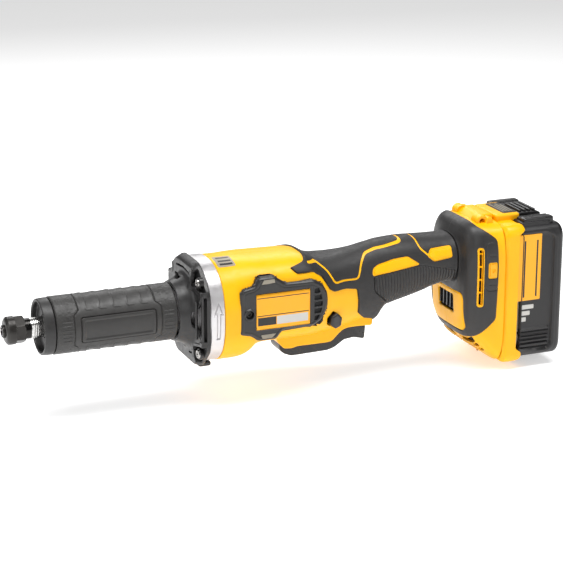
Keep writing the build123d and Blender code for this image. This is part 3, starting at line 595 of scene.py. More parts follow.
def make_ring():
    angle = turn(640)[None, :]
    x = np.concatenate([[RING_FRONT], np.arange(RING_FRONT + 0.25, RING_BACK, 0.25), [RING_BACK]])[:, None]
    inset = 0.9 * (1 - ease((x - RING_FRONT) / 1.3)) + 0.8 * (1 - ease((RING_BACK - x) / 0.8))
    y, z = section(RING_HALF - inset, -RING_HALF + inset, RING_HALF - inset, RING_POWER, angle)
    across = x - (RING_FRONT + RING_BACK) / 2 - 2.2
    arrow = stroke(ARROW, np.broadcast_to(across, y.shape) - 0.2, z, 1.8, 0.3, closed=True)
    depth = np.where(y < 0, 0.8 * arrow, 0)
    grid = np.stack([np.broadcast_to(x, y.shape), y, z], -1)
    grid = grid - normals(grid) * depth[..., None]
    inner = grid[[-1, 0]] * [1, 0.82, 0.82]
    grid = np.concatenate([grid, inner, grid[:1]])
    add_mesh("bearing_plate_ring", grid.reshape(-1, 3), [quads(len(grid), 640)], "housing", "cast_alloy",
        ALLOY, ["bearing_plate"], outward=True)


COVER_EDGE = 151.0  # where the bevel round the cover's face ends
FACE = rounded([(16, 36.8), (21.5, 35.8), (38, 21), (38.5, -23), (20.5, -39.0), (-20.5, -39.0),
    (-38.5, -23), (-38, 21), (-21.5, 35.8), (-16, 36.8)], 4)
COVER = rounded([(17.5, 41.3), (40.4, 22.5), (40.4, -23.5), (21.5, -41.4), (-21.5, -41.4), (-40.4, -23.5),
    (-40.4, 22.5), (-17.5, 41.3)], 5)
POCKETS = [
    rounded([(17.9, 36.5), (15.6, 27.0), (18.0, 23.6), (28.5, 23.0), (36.0, 23.4), (50, 24.4),
             (50, 43), (30, 43)], 2),
    rounded([(19.0, -24.3), (20.6, -31.5), (25.0, -36.0), (31.0, -40), (50, -40),
             (50, -20.2), (36, -20.4)], 2),
]
OPENING = rounded([(26.5, 5.5), (33.0, 14.0), (37.0, 19.5), (50, 20.6), (50, -16.4), (37.0, -16.0),
    (33.0, -13.6), (26.5, -7.0)], 1.5)
SLITS = [  # (y, z) of the ends of the arcs above the boot, then of the short ones below it
    [(-12, 31.6), (3, 33.4), (18, 32.0)], [(-1, 26.4), (10, 25.8), (21, 24.0)],
    [(-2.5, -29.8), (5.5, -29.4)], [(-16, -31.2), (-8.5, -32.6)],
]
SCREW_Y, SCREW_Z, BOSS_R = 28.2, 28.6, 4.6
HIDDEN_SIDE = 12.0  # how much further out the pockets and the opening start on the +Y side


def edge_of(outline, angle):
    """Distance of a closed (y, z) outline from the axis at these angles."""
    across, up = np.cos(angle), np.sin(angle)
    best = np.full(angle.shape, 1e9)
    for p, q in zip(outline, np.roll(outline, -1, 0)):
        d = q - p
        cross = across * d[1] - up * d[0]
        cross = np.where(np.abs(cross) < 1e-9, 1e-9, cross)
        reach = (p[0] * d[1] - p[1] * d[0]) / cross
        share = (p[0] * up - p[1] * across) / cross
        best = np.where((reach > 0) & (share > -1e-6) & (share < 1 + 1e-6), np.minimum(best, reach), best)
    return best


def make_cover():
    angle = turn(640)
    face, edge = edge_of(FACE, angle)[None, :], edge_of(COVER, angle)[None, :]
    shares = np.linspace(0, 1, 62)[:, None]
    radius = NECK_R + (face - NECK_R) * shares
    flare = np.clip((radius - NECK_R) / (FLARE_R - NECK_R), 0, 1)
    x = NECK + (COVER_FACE - NECK) * (1 - (1 - flare) ** 2.6)
    bevel = np.linspace(0.04, 1, 16)[:, None]
    wall = np.linspace(COVER_EDGE + 0.2, RING_FRONT - 0.1, 6)[:, None]
    radius = np.concatenate([radius, face + (edge - face) * bevel**0.75, edge + 0 * wall])
    x = np.concatenate([x, COVER_FACE + (COVER_EDGE - COVER_FACE) * bevel**1.3 + 0 * edge,
        wall + 0 * edge])
    grid = np.stack([x, radius * np.cos(angle), radius * np.sin(angle)], -1)
    side, up = np.abs(grid[..., 1]), grid[..., 2]
    hidden = np.where(grid[..., 1] > 0, side - HIDDEN_SIDE, side)
    shapes = [np.minimum(inside(outline, hidden, up), np.minimum(150.3 - x, np.hypot(side, up) - 24))
        for outline in [OPENING] + POCKETS]
    for slit in SLITS:
        reach = 1.0 if abs(slit[0][1]) < 29 or len(slit) > 2 else 0.8
        shapes.append(np.minimum(reach - distance(slit, grid[..., 1], up), 148 - x))
    field = -np.max(shapes, axis=0)
    rim = 0.45 * ease(1.8 - np.abs(field - 1.2)) * (np.minimum(-shapes[1], -shapes[2]) < 4) * (x < 147)
    grid = grid + normals(grid) * rim[..., None]
    shell = skin("vent_cover_shell", grid, field, *HOUSING_DARK, thickness=3.4, split=False)[0]
    # A back plate in near black behind the cover: painted shade seen through the cover's openings.
    back = [(150.6, 20), (150.6, 30), (RING_FRONT - 0.1, 30), (RING_FRONT - 0.1, 20)]

    def wide(x, radius, angle):
        return np.where(radius > 25, edge_of(COVER, angle + 0 * x) - 0.7, radius)

    plate = turned("vent_cover_back", back, "housing", "dark_plastic", PAINTED_SHADE_BLACK, columns=360, shape=wide)
    bars = []
    for y, at, high in ((31.6, 144.6, 15.0), (37.8, 147.6, 20.5)):
        for sign in (-1, 1):
            bar = disc(at + 3 * (sign > 0), sign * y, 1.1, 16)
            bars.append(slab("bar", bar, -high, high, *HOUSING_DARK, axis="Z", bevel=0.2))
    tongue = rectangle(RING_FRONT - 1.5, -17, 162.0, 17, 2.5)
    bars.append(slab("tongue", tongue, -43.6, -40.4, *HOUSING_DARK, axis="Z", bevel=0.8))
    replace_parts(join("vent_cover_front", [shell] + bars), "vent_cover")
    screws, bosses = [], []
    for a in (-1, 1):
        for b in (-1, 1):
            place = (148.2 + 1.6 * (a > 0), a * SCREW_Y, b * SCREW_Z)
            screws.append(screw_head("screw", place, (-1, 0, 0), 3.5, 2.2, ZINC))
            boss = disc(a * SCREW_Y, b * SCREW_Z, BOSS_R, 28)
            bosses.append(slab("boss", boss, 147.4 + 1.6 * (a > 0), 151.0, "housing", "dark_plastic", BLACK,
                axis="X", bevel=0.5))
    # the bosses, joined with the back plate of painted shade
    join("vent_cover_bosses", bosses + [plate])
    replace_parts(join("vent_screw_heads", screws), "vent_cover_screws")


# ---- Body, handle and foot ----
# x, half width, low z, high z and squareness of the section of the yellow housing
STATIONS = np.array([(165.4, 40.4, -41.4, 40.4, 2.35), (176, 39.6, -41.4, 40.2, 2.4),
    (184, 39, -40.2, 40.1, 2.6), (190, 38.5, -37.4, 40, 2.7), (197, 38, -31.4, 39.8, 2.8),
    (204, 37.6, -30.2, 39.6, 2.8), (222, 37.2, -30, 39.2, 2.8), (234, 36.8, -30, 38.8, 2.8),
    (240, 36.2, -30, 37.8, 2.8), (246, 34.5, -30, 34.6, 2.8), (250, 33.2, -30, 32.4, 2.7),
    (258, 30.6, -29.8, 31.3, 2.6), (266, 28, -29.3, 31.2, 2.6), (278, 25, -28.5, 31.8, 2.5),
    (290, 23, -27, 33.2, 2.4), (300, 22.2, -27, 35.4, 2.3), (304.6, 22, -26, 36.2, 2.3),
    (308.6, 22, -20.5, 36.9, 2.3), (313, 22, -15.6, 37.5, 2.3), (331, 21.8, -10.6, 38.4, 2.3),
    (346, 21.2, -6.8, 37.8, 2.3), (360, 20.8, -2.4, 37.2, 2.3), (370, 21.0, -0.8, 37.0, 2.35),
    (374.6, 21.6, -1.6, 37.2, 2.45), (376, 23, -10, 38.4, 2.6), (377, 25.4, -24, 40.4, 2.8),
    (378, 28.8, -34.5, 42.6, 3.1), (379, 31.4, -39.4, 44.8, 3.4), (381.4, 34.4, -44, 47.8, 3.8),
    (385, 36.5, -49, 49.5, 4.3), (390, 38, -54.5, 49.9, 4.7), (400, 39.5, -63, 49.5, 5.1),
    (408.2, 40, -69.3, 49.2, 5.4)])
OVERMOULD = rounded([(243.5, 70), (242, 38.7), (237, 35.1), (223.2, 32.3), (228.2, 27.7), (242, 27.5),
    (250, 22.4), (257, 11), (262, 8.3), (272, 8.8), (283.3, 6.7), (284.5, -2.7), (285, -13.6),
    (291.7, -19.9), (302.5, -23), (303.5, -60), (374.4, -60), (374.4, 70)], 1.6)
STRIPE_FRONT = rounded([(240.2, 33.3), (249.5, 31.3), (257, 24.5), (262.3, 14.6), (269.3, 15.6),
    (284.5, 14.7), (288.8, 24.7), (294.4, 31.1), (304, 33.7), (326.1, 36.7), (329.2, 38.1), (327.9, 42),
    (327.5, 60)], 3, closed=False)
STRIPE_BACK = rounded([(340.5, 60), (340.8, 37.4), (341.5, 31.8), (351.5, 23.2)], 3, closed=False)
ACCENT_BACK = rounded([(350.8, 30.1), (369, 30.9), (369, 22.9), (353.1, 21.1), (347.5, 25.5)], 1.5)
ACCENT_GRIP = rounded([(298.3, 14.9), (298.6, 19.9), (302.5, 22.5), (315.9, 25.9), (329.3, 26.9),
    (339.5, 20.2)], 2)
RIBBED = rounded([(299.2, 14.4), (299.3, 2.6), (305.3, -2.7), (312, -8), (330, -30), (373.6, -30),
    (373.6, 12), (341, 19.4)], 2)
BODY_FRONT, BODY_BACK, CAPE_SEAM = 165.4, 408.2, 374.4
FOOT_SIDE = 20  # a point of the foot with a larger |y| is on its left or right face
MOUTH_HALF, MOUTH_FRONT, MOUTH_BACK = 13.4, 220.6, 301.4  # the opening for the trigger
STRIPE_HALF, OVER_HEIGHT, UNDER_HEIGHT, RIB_PITCH = 0.3, 1.35, 0.95, 2.65
# how deep inside the housing the dark sheet of painted shade lies
SHADE_SHEET_DEPTH = 3.6
LOCK_X, LOCK_Z = 261.9, -15.6
LOCK_HOLE = rounded([(254.8, -12.4), (260.3, -7.0), (268.0, -12.6), (269.2, -19.6), (264.6, -24.4),
    (256.0, -18.6)], 1)
CAPE = rounded([(362, 70), (385.5, 70), (387.0, 49.0), (393.5, 45.0), (401.9, 38.4), (402.9, 12),
    (401.4, -28.8), (388.2, -42), (383.5, -47.0), (376, -62), (362, -62)], 3)
CAPE_HEIGHT, CAPE_FROM = 1.3, 374.5
LABEL_TOP = rectangle(167.2, -20.5, 182.0, -3.5, 1.5)


def steps(*spans):
    """Positions along x, from spans of (start, stop, step)."""
    return np.concatenate([np.arange(*span) for span in spans])


def body_grid(xs, columns):
    """Points on the yellow body, then their x, y and z."""
    angle = turn(columns)[None, :]
    half, low, high, power = (curve(xs, STATIONS[:, 0], STATIONS[:, k])[:, None] for k in (1, 2, 3, 4))
    y, z = section(half, low, high, power, angle)
    x = np.repeat(xs[:, None], columns, 1)
    return np.stack([x, y, z], -1), x, y, z


def front_panel(grid):
    """How far inside the yellow panel of the foot's front face a point is."""
    outline = rounded([(-25, -8.5), (25, -8.5), (26.5, -12), (26.5, -36), (22, -40), (-22, -40),
        (-26.5, -36), (-26.5, -12)], 2)
    return np.where(grid[..., 0] < 382, inside(outline, grid[..., 1], grid[..., 2]), -5)


def over_field(grid):
    x, _, z = axes(grid)
    field = inside(OVERMOULD, x, z)
    for stripe in (STRIPE_FRONT, STRIPE_BACK):
        field = np.minimum(field, distance(stripe, x, z) - STRIPE_HALF)
    for accent in (ACCENT_BACK, ACCENT_GRIP):
        field = np.minimum(field, -inside(accent, x, z))
    return field


def cape_field(grid):
    x, _, z = axes(grid)
    field = np.minimum(inside(CAPE, x, z), x - CAPE_FROM)
    field = np.minimum(field, -front_panel(grid) - 0.2)
    return np.minimum(field, -inside(ACCENT_BACK, x, z))


def make_housing():
    xs = steps((BODY_FRONT, 372, 1.0), (372, 384, 0.14), (384, 408, 0.8))
    grid, x, _, z = body_grid(np.append(xs, BODY_BACK), 320)
    over = np.maximum(inside(OVERMOULD, x, z), only(x > 369, cape_field(grid)))
    under = UNDER_HEIGHT * (1 - ease(inside(RIBBED, x, z) / 0.8 + 1))
    lift = under * ease((over - 0.9) / 1.2)
    lift = lift + (CAPE_HEIGHT - 0.1) * ease(front_panel(grid) / 1.2 + 1) * (x > 369)
    lift = lift - 1.3 * ease(1.6 - np.abs(x - CAPE_SEAM) / 0.8)
    lift = lift - 3.2 * ease(only(x < 256, inside(rounded(BEZEL, 2.2), x, z)) - 1.0)
    grid = grid + normals(grid) * lift[..., None]
    ends = []  # rings that close the back
    for share in (0.97, 0.85, 0.5, 0.02):
        ring = grid[-1] * [0, share, share] + [BODY_BACK + 0.15 * (share < 0.9), 0, -8 * (1 - share)]
        ends.append(ring[None])
    grid = np.concatenate([grid] + ends)
    x, y, z = axes(grid)
    hole = only(x < 300, inside(LOCK_HOLE, x, z))
    for k in range(4):  # air outlets on the slope below the foot
        slot = rectangle(380.6 + 4.6 * k, 5, 384.2 + 4.6 * k, 29, 1.3)
        hole = np.maximum(hole, only((z < -40) & (x > 376), inside(slot, x, np.abs(y))))
    intake = rectangle(-13.3, -27.6, 13.3, -11.6, 1.4)
    hole = np.maximum(hole, only((x < 380) & (x > 371), inside(intake, y, z)))
    slit = box(x, z, 385.5, -15.6, 389.1, 30.8, 0.9)
    hole = np.maximum(hole, only(np.abs(y) > FOOT_SIDE, slit))
    mouth = np.minimum(MOUTH_HALF - np.abs(y), np.minimum(x - MOUTH_FRONT, MOUTH_BACK - x))
    hole = np.maximum(hole, only(z < 0, mouth))
    skin("housing_shell", grid, -hole, *HOUSING_YELLOW, ["housing"], thickness=2.2)


def make_inner_shadow():
    """Dark walls a little inside the housing: painted shade, seen through its vents and slots."""
    grid = body_grid(steps((306, 308, 3), (309, 372, 4), (372, 384, 0.3), (384, 405, 3.0)), 120)[0]
    grid = grid - normals(grid) * SHADE_SHEET_DEPTH
    skin("painted_shade_liner", grid, np.ones(grid.shape[:2]), "housing", "black_plastic", PAINTED_SHADE_BLACK, thickness=0.8)


def make_overmould():
    grid, x, _, z = body_grid(steps((220, 296, 0.5), (296, 375.2, 0.3)), 460)
    field = over_field(grid)
    ribbed = inside(RIBBED, x, z)
    lean = 0.10 * (z - 5)
    ribs = np.cos(2 * np.pi * (x + lean - 300.6) / RIB_PITCH)
    relief = (0.42 * ribs - 0.35) * ease(ribbed / 1.2) + groove(ribbed, 0.8, 0.55)
    line = rounded([(299.2, 14.4), (299.3, 2.6), (305.3, -2.7), (313, -9)], 2, closed=False)
    relief = relief + groove(distance(line, x, z), 0.7, 0.4)
    pad("handle_overmould", grid, field, OVER_HEIGHT, 0.6, "housing", "soft_grip", [RUBBER, RUBBER_SMOOTH],
        ["handle_skin"], thickness=1.1, relief=relief,
        index=lambda centres: (inside(RIBBED, centres[:, 0], centres[:, 2]) > 0).astype(int))


def make_foot_cape():
    grid, x, y, z = body_grid(steps((373.6, 384, 0.11), (384, BODY_BACK, 0.5)), 520)
    field = cape_field(grid)
    flank = np.abs(y) > FOOT_SIDE
    slit = only(flank, box(x, z, 385.6, -16.3, 389.0, 31.5, 1.6))
    pocket = only(flank, box(x, z, 391.4, -3.6, 402.2, 36.4, 4.2))
    field = np.minimum(field, -slit)
    relief = groove(pocket, 0.7, 0.3) + 0.4 * ease(pocket / 0.9)
    for level in (25.6, 1.5):
        relief = relief - 0.3 * stroke([(394.3, level), (399.6, level)], x, z, 1.5, 0.4) * flank
    field = np.minimum(field, -only(flank, box(x, z, 394.0, 7.3, 400.4, 19.3, 1.0)))
    pad("foot_cape", grid, field, CAPE_HEIGHT, 1.3, "housing", "soft_grip", RUBBER_SMOOTH, thickness=1.1,
        relief=relief)
    grid, x, y, z = body_grid(steps((383, 404, 0.25)), 520)
    flank = np.abs(y) > FOOT_SIDE
    rim = box(x, z, 385.7, -16.2, 388.9, 31.4, 1.5)
    cells = [box(x, z, 386.3, low, 388.3, low + 9.6, 0.7) for low in (-15.2, -4.3, 6.6, 17.5)]
    cells.append(box(x, z, 386.3, 28.2, 388.3, 30.4, 0.7))
    rim = only(flank, np.minimum(rim, -np.max(cells, axis=0)))
    pad("foot_vent_frame", grid, rim, 1.25, 0.4, *HOUSING_YELLOW, thickness=1.1)
    square = box(x, z, 394.2, 7.5, 400.2, 19.1, 0.9)
    hole = 1.25 - np.hypot(x - 397.2, z - 13.6)
    square = only(flank, np.minimum(square, -hole))
    pad("foot_inlay_plate", grid, square, 1.75, 0.6, "housing", "inlay_plastic", YELLOW_SATIN,
        ["foot_inlay"], thickness=1.2)


def make_front_grille():
    """The bars of the air intake in the foot's front panel."""
    bars = []
    for k in range(7):
        y = 4.2 * (k - 3)
        bar = rounded([(377.6, -10.6), (378.8, -28.6), (382.4, -28.6), (381.4, -10.6)], 0.6)
        bars.append(slab("bar", bar, y - 0.6, y + 0.6, "housing", "black_plastic", BLACK, bevel=0.25))
    join("foot_intake_bars", bars)


def make_accents():
    """The yellow accents of the handle. The rear one has small ridges."""
    grid, x, y, z = body_grid(steps((296, 372, 0.5)), 460)
    back = only(np.abs(y) > 5, inside(ACCENT_BACK, x, z) - 0.35)
    ridges = np.zeros(x.shape)
    for k in range(9):
        tip = 354.5 + 1.35 * k
        ridges = np.maximum(ridges, stroke([(tip, 24.4), (tip + 0.5, 28.2)], x, z, 1.6, 0.4))
    pad("accent_rear", grid, back, 1.75, 0.6, *HOUSING_YELLOW, thickness=1.0,
        relief=0.22 * ridges * ease(back))
    grip = inside(ACCENT_GRIP, x, z) - 0.35
    pad("accent_grip", grid, grip, 1.75, 0.7, *HOUSING_YELLOW, thickness=1.0)


def make_top_label():
    grid, x, y, z = body_grid(steps((166, 184, 0.5)), 460)
    field = only(z > 20, inside(LABEL_TOP, x, y))

    def print_index(centres):
        rows = [box(centres[:, 0], centres[:, 1], 169.4, low, 180.0, low + 2.4, 0.4)
            for low in (-18.4, -14.0, -8.4)]
        return (np.max(rows, axis=0) > 0).astype(int)

    pad("rating_label", grid, field, 0.25, 0.4, "housing", "label_sheet", [GREY_INLAY, DARK_PRINT],
        ["top_label"], thickness=0.3, split=False, index=print_index)


# ---- Side bezels ----
BEZEL = [(178, -14), (178, 20), (181, 22.6), (189.5, 24), (193, 30.6), (206.3, 30.6), (215.3, 24.2),
    (239.3, 23.9), (247, 19.6), (251, 12), (251.6, 4.9), (250, -3), (246, -9.5), (239.3, -13.9),
    (213, -14.2), (207.9, -20.5), (192.8, -20.5), (187, -16)]
BEZEL_FACE, BEZEL_EDGE = 40.3, 1.7
LABEL = (190.6, -11.6, 236.2, 17.6)
TAB_TOP = rounded([(195.2, 25.0), (197.2, 28.6), (206.0, 28.6), (206.6, 25.6)], 0.5)
TAB_LOW = rounded([(194.6, -15.6), (207.4, -15.6), (203.8, -18.9), (196.0, -18.9)], 0.5)


def bezel_windows():
    """Five windows that follow the bezel's round end."""
    made = []
    for k in range(5):
        low = -9.4 + 5.5 * k
        bow = [0.012 * (z - 4.2) ** 2 for z in (low, low + 4.2)]
        made.append(rounded([(239.6, low), (246.6 - bow[0] * 1.9, low + 0.5),
            (246.6 - bow[1] * 1.9, low + 4.7), (239.6, low + 4.2)], 0.7))
    return made


def make_bezels():
    step = 0.42
    xs, zs = np.arange(176.5, 253.2, step), np.arange(-22, 32.2, step)
    x, z = (a.T for a in np.meshgrid(xs, zs))
    field = inside(rounded(BEZEL, 2.2), x, z)
    label = box(x, z, *LABEL, 0.8)
    windows = np.max([inside(w, x, z) for w in bezel_windows()], axis=0)
    tabs = np.maximum(inside(TAB_TOP, x, z), inside(TAB_LOW, x, z))
    boss = 4.4 - np.hypot(x - 185.3, z - 2)
    level = BEZEL_FACE - BEZEL_EDGE * (1 - ease(field / 2.2)) ** 1.5
    level = level + groove(field - 3.4, 0.7, 0.25)
    level = level - 0.7 * ease(label / 0.4 + 0.5) - 0.55 * ease(tabs / 0.4
        + 0.5) - 1.6 * ease(windows / 0.5)
    level = level + 0.9 * ease(1.8 - np.abs(boss - 0.5) / 0.55) - 2.6 * ease((boss - 1.1) / 0.4)
    level = level + groove(np.abs(x - 238.1) + 9 * (np.abs(z - 4) > 15), 0.5, 0.3)
    for side, sign in SIDES:
        grid = np.stack([x, sign * level, z], -1)
        points = np.concatenate([grid.reshape(-1, 3), field.reshape(-1, 1)], 1)
        points, triangles = clip(points, split_quads(quads(len(xs), len(zs), False)), field.ravel())
        centres = points[triangles].mean(1)
        # the window faces get the near black: painted shade in the recessed windows
        shaded_window = np.max([inside(w, centres[:, 0], centres[:, 2]) for w in bezel_windows()], axis=0) > 0.2
        if sign > 0:
            triangles = triangles[:, ::-1]
        piece = add_mesh(f"bezel_{side}", points, [triangles], "housing", "dark_plastic", [DARK, PAINTED_SHADE_BLACK],
            [f"side_bezel_{side}"], indices=shaded_window.astype(int))
        orient(piece, sign)
        modifier(piece, "SOLIDIFY", thickness=7.0 * MM, offset=-1)
        screw_head(f"bezel_screw_{side}", (185.3, sign * (BEZEL_FACE - 2.5), 2), (0, sign, 0), 2.7, 1.3,
            BLACK_STEEL)
        make_label(f"bezel_label_{side}", sign)
        for name, tab in (("top", TAB_TOP), ("low", TAB_LOW)):
            slab(f"bezel_tab_{name}_{side}", tab, sign * (BEZEL_FACE - 1.2), sign * (BEZEL_FACE - 0.2),
                "housing", "inlay_plastic", GREY_INLAY, bevel=0.25)
    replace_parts(bpy.data.objects["bezel_screw_left"], "bezel_screws")


def orient(piece, sign):
    """Turns a sheet's faces so that they point along sign * y."""
    total = sum((p.normal.y * p.area for p in piece.data.polygons[:400]), 0.0)
    if total * sign < 0:
        piece.data.flip_normals()


def make_label(name, sign):
    """The rating plate in the bezel: thin lines, a dark block and a pale block, and no lettering."""
    x0, z0, x1, z1 = LABEL
    xs = np.array([x0 + 0.3, 191.6, 192.2, 207.5, 208.0, 233.2, 234.2, 234.8, x1 - 0.3])
    zs = np.array([z0 + 0.3, -9.9, -9.2, -8.2, -1.6, -0.6, 0.1, 13.6, 14.3, z1 - 0.3])
    level = sign * (BEZEL_FACE - 0.35)
    points = np.array([(x, level, z) for x in xs for z in zs])
    faces = quads(len(xs), len(zs), False)
    centres = points[faces].mean(1)
    x, z = centres[:, 0], centres[:, 2]
    within = (x > 191.6) & (x < 234.8)
    line = within & (((z > -0.6) & (z < 0.1)) | ((z > 13.6) & (z < 14.3)))
    dark = (x > 192.2) & (x < 207.5) & (z > -8.2) & (z < -1.6)
    pale = (x > 208.0) & (x < 234.2) & (z > -8.2) & (z < -1.6)
    piece = add_mesh(name, points, [faces], "housing", "label_sheet",
        [YELLOW_SATIN, DARK_PRINT, PALE_PRINT], [name.replace("bezel_label", "side_label")],
        indices=(line | dark) * 1 + pale * 2)
    orient(piece, sign)
    modifier(piece, "SOLIDIFY", thickness=0.3 * MM, offset=-1)


# ---- Trigger, its carrier and the lock-off button ----
CARRIER = rounded([(217.5, -25), (218.5, -30.5), (221.0, -35), (224.5, -38.8), (231.5, -39.4), (236, -38.2),
    (262, -38.4), (266.5, -37.6), (271.5, -32.6), (275.5, -29.4), (280, -28.1), (289, -28.0),
    (301.6, -28.8), (302.2, -23), (296, -19), (230, -19)], 2.0)
TRIGGER = [(222.8, -33), (222.4, -40.2), (225.4, -44.4), (232.5, -47.4), (264.5, -46.8), (270.7, -45.0),
    (279, -39.6), (287.4, -38.7), (296.9, -41.2), (298, -29), (285, -27.6), (268, -30.6)]
GUARD_INNER, GUARD_OUTER, TRIGGER_HALF = 12.4, 15.0, 10.6
LOCK_LEFT, LOCK_RIGHT = -32.2, 27.8


def make_trigger():
    nose = rounded([(217.5, -25), (218.5, -30.5), (220.6, -34.6), (222.0, -35.6), (222.4, -24)], 1.2)
    for side, sign in SIDES:
        wall = slab("wall", CARRIER, sign * GUARD_INNER, sign * GUARD_OUTER, *HOUSING_YELLOW, bevel=1.1,
            segments=4)
        front = slab("front", nose, sign * SEAM, sign * 12.8, *HOUSING_YELLOW, bevel=0.8)
        join(f"trigger_guard_{side}", [wall, front])
    slab("trigger_lever", rounded(TRIGGER, 2.2), -TRIGGER_HALF, TRIGGER_HALF, "trigger", "black_plastic",
        BLACK, bevel=2.6, replaces=["trigger"], segments=5)


def make_lock_off():
    outline = rounded([(LOCK_X + 5.5 * math.cos(t) + 0.5, LOCK_Z + 6.5 * math.sin(t) + 0.2)
        for t in np.radians(np.arange(22, 382, 60))], 1.2)
    slab("lock_off_bar", outline, LOCK_LEFT, LOCK_RIGHT, "lock_off_button", "black_plastic", DARK,
        bevel=1.6, replaces=["lock_off_button"], segments=4)


# ---- Top of the foot, battery and latch ----
STRAP_X, STRAP_Z = 395.4, 50.0


def make_foot_top():
    """The lug on top of the foot, and the barrel through it for a strap."""
    boss = rounded([(388.5, 42), (390.5, 49.6), (396.5, 54.4), (408.1, 54.4), (408.1, 42)], 2.6)
    parts = [slab("boss", boss, -16.5, 16.5, *HOUSING_YELLOW, bevel=2.2, segments=4)]
    wedge = rounded([(396.0, 42), (399, 53.8), (403.6, 53.4), (407.4, 42)], 2)
    for sign in (-1, 1):
        parts.append(slab("wedge", wedge, sign * 20.4 - 3.4, sign * 20.4 + 3.4, *HOUSING_YELLOW, bevel=1.6,
            segments=4))
    join("foot_lug", parts)
    barrel = []
    for sign in (-1, 1):
        ring = []
        for reach, level in ((2.4, 6.0), (2.6, 9.6), (4.6, 9.8), (5.3, 9.0), (5.3, 0.0), (2.4, 0.0)):
            ring.append([(x, sign * (12.5 + level), z) for x, z in disc(STRAP_X, STRAP_Z, reach, 40)])
        grid = np.stack(ring + ring[:1])
        barrel.append(add_mesh("barrel", grid.reshape(-1, 3), [quads(len(grid), 40)], *HOUSING_YELLOW,
            outward=True))
        # a near black disc in the bore of the barrel: painted shade in the hole
        barrel.append(slab("painted_shade_disc", disc(STRAP_X, STRAP_Z, 2.5, 20), sign * 13 - 0.5, sign * 13 + 5.6,
            "housing", "yellow_plastic", PAINTED_SHADE_BLACK, bevel=0))
    join("foot_strap_barrel", barrel)


def rounded_ring(half, low, high, corner, count):
    """(y, z) points round a rectangle with rounded corners, count for each pair of a side and a corner."""
    made = []
    centres = [(half - corner, high - corner), (corner - half, high - corner),
        (corner - half, low + corner), (half - corner, low + corner)]
    share = np.linspace(0, 1, count - 9)[:-1]
    for k, (y, z) in enumerate(centres):
        before = centres[k - 1]
        start_angle = k * np.pi / 2
        normal = np.array([math.cos(start_angle), math.sin(start_angle)]) * corner
        side = np.array(before) + normal + (np.array([y, z]) - np.array(before)) * share[:, None]
        arc_angle = np.linspace(start_angle, start_angle + np.pi / 2, 11)[:-1]
        arc = np.array([y, z]) + corner * np.stack([np.cos(arc_angle), np.sin(arc_angle)], -1)
        made += [side, arc]
    return np.concatenate(made)


CASE_FRONT, CASE_BACK, CASE_HALF, CASE_LOW, CASE_HIGH, CORNER = 423.2, 463.3, 40.0, -66.3, 46.0, 9
RECESS = rounded([(400, 40.6), (448.5, 40.6), (454.2, 35.5), (454.2, -57), (449.4, -61.8), (400, -56.5)],
    2.2)
SHELL_FRONT, SHELL_BACK, SHELL_TOP_BACK = 409.2, 425.6, 423.8  # the yellow half towards the foot
SIDE_PLATE = (421.4, -16.4, 442.0, 39.6)
YELLOW_EDGE = rounded([(380, 60), (425.2, 60), (426.4, 43.5), (420.9, 40.6), (420.6, -16.9), (420.2, -56.6),
    (425.6, -60.5), (427.0, -80), (380, -80)], 1.5)


def battery_relief(grid):
    x, y, z = axes(grid)
    field = only(np.abs(y) > 30, inside(RECESS, x, z))
    lift = -2.0 * ease(field / 1.5) + 0.35 * ease(1 - np.abs(field + 1.6) / 1.6)
    ribs = np.zeros(x.shape)
    for k in range(6):
        level = -58.8 + 3.4 * k
        rib = [(424, level), (450.2 - 0.4 * (k == 0), level)]
        ribs = np.maximum(ribs, stroke(rib, x, z, 1.7, 0.85))
    lift = lift + 1.4 * ribs * ease(field)
    back = (x > CASE_BACK - 3) & (np.abs(y) < 31) & (z > -52) & (z < 36)
    lift = lift + 0.7 * back * ease((31 - np.abs(y)) / 2) * ease((z + 52) / 2) * ease((36 - z) / 2)
    return lift


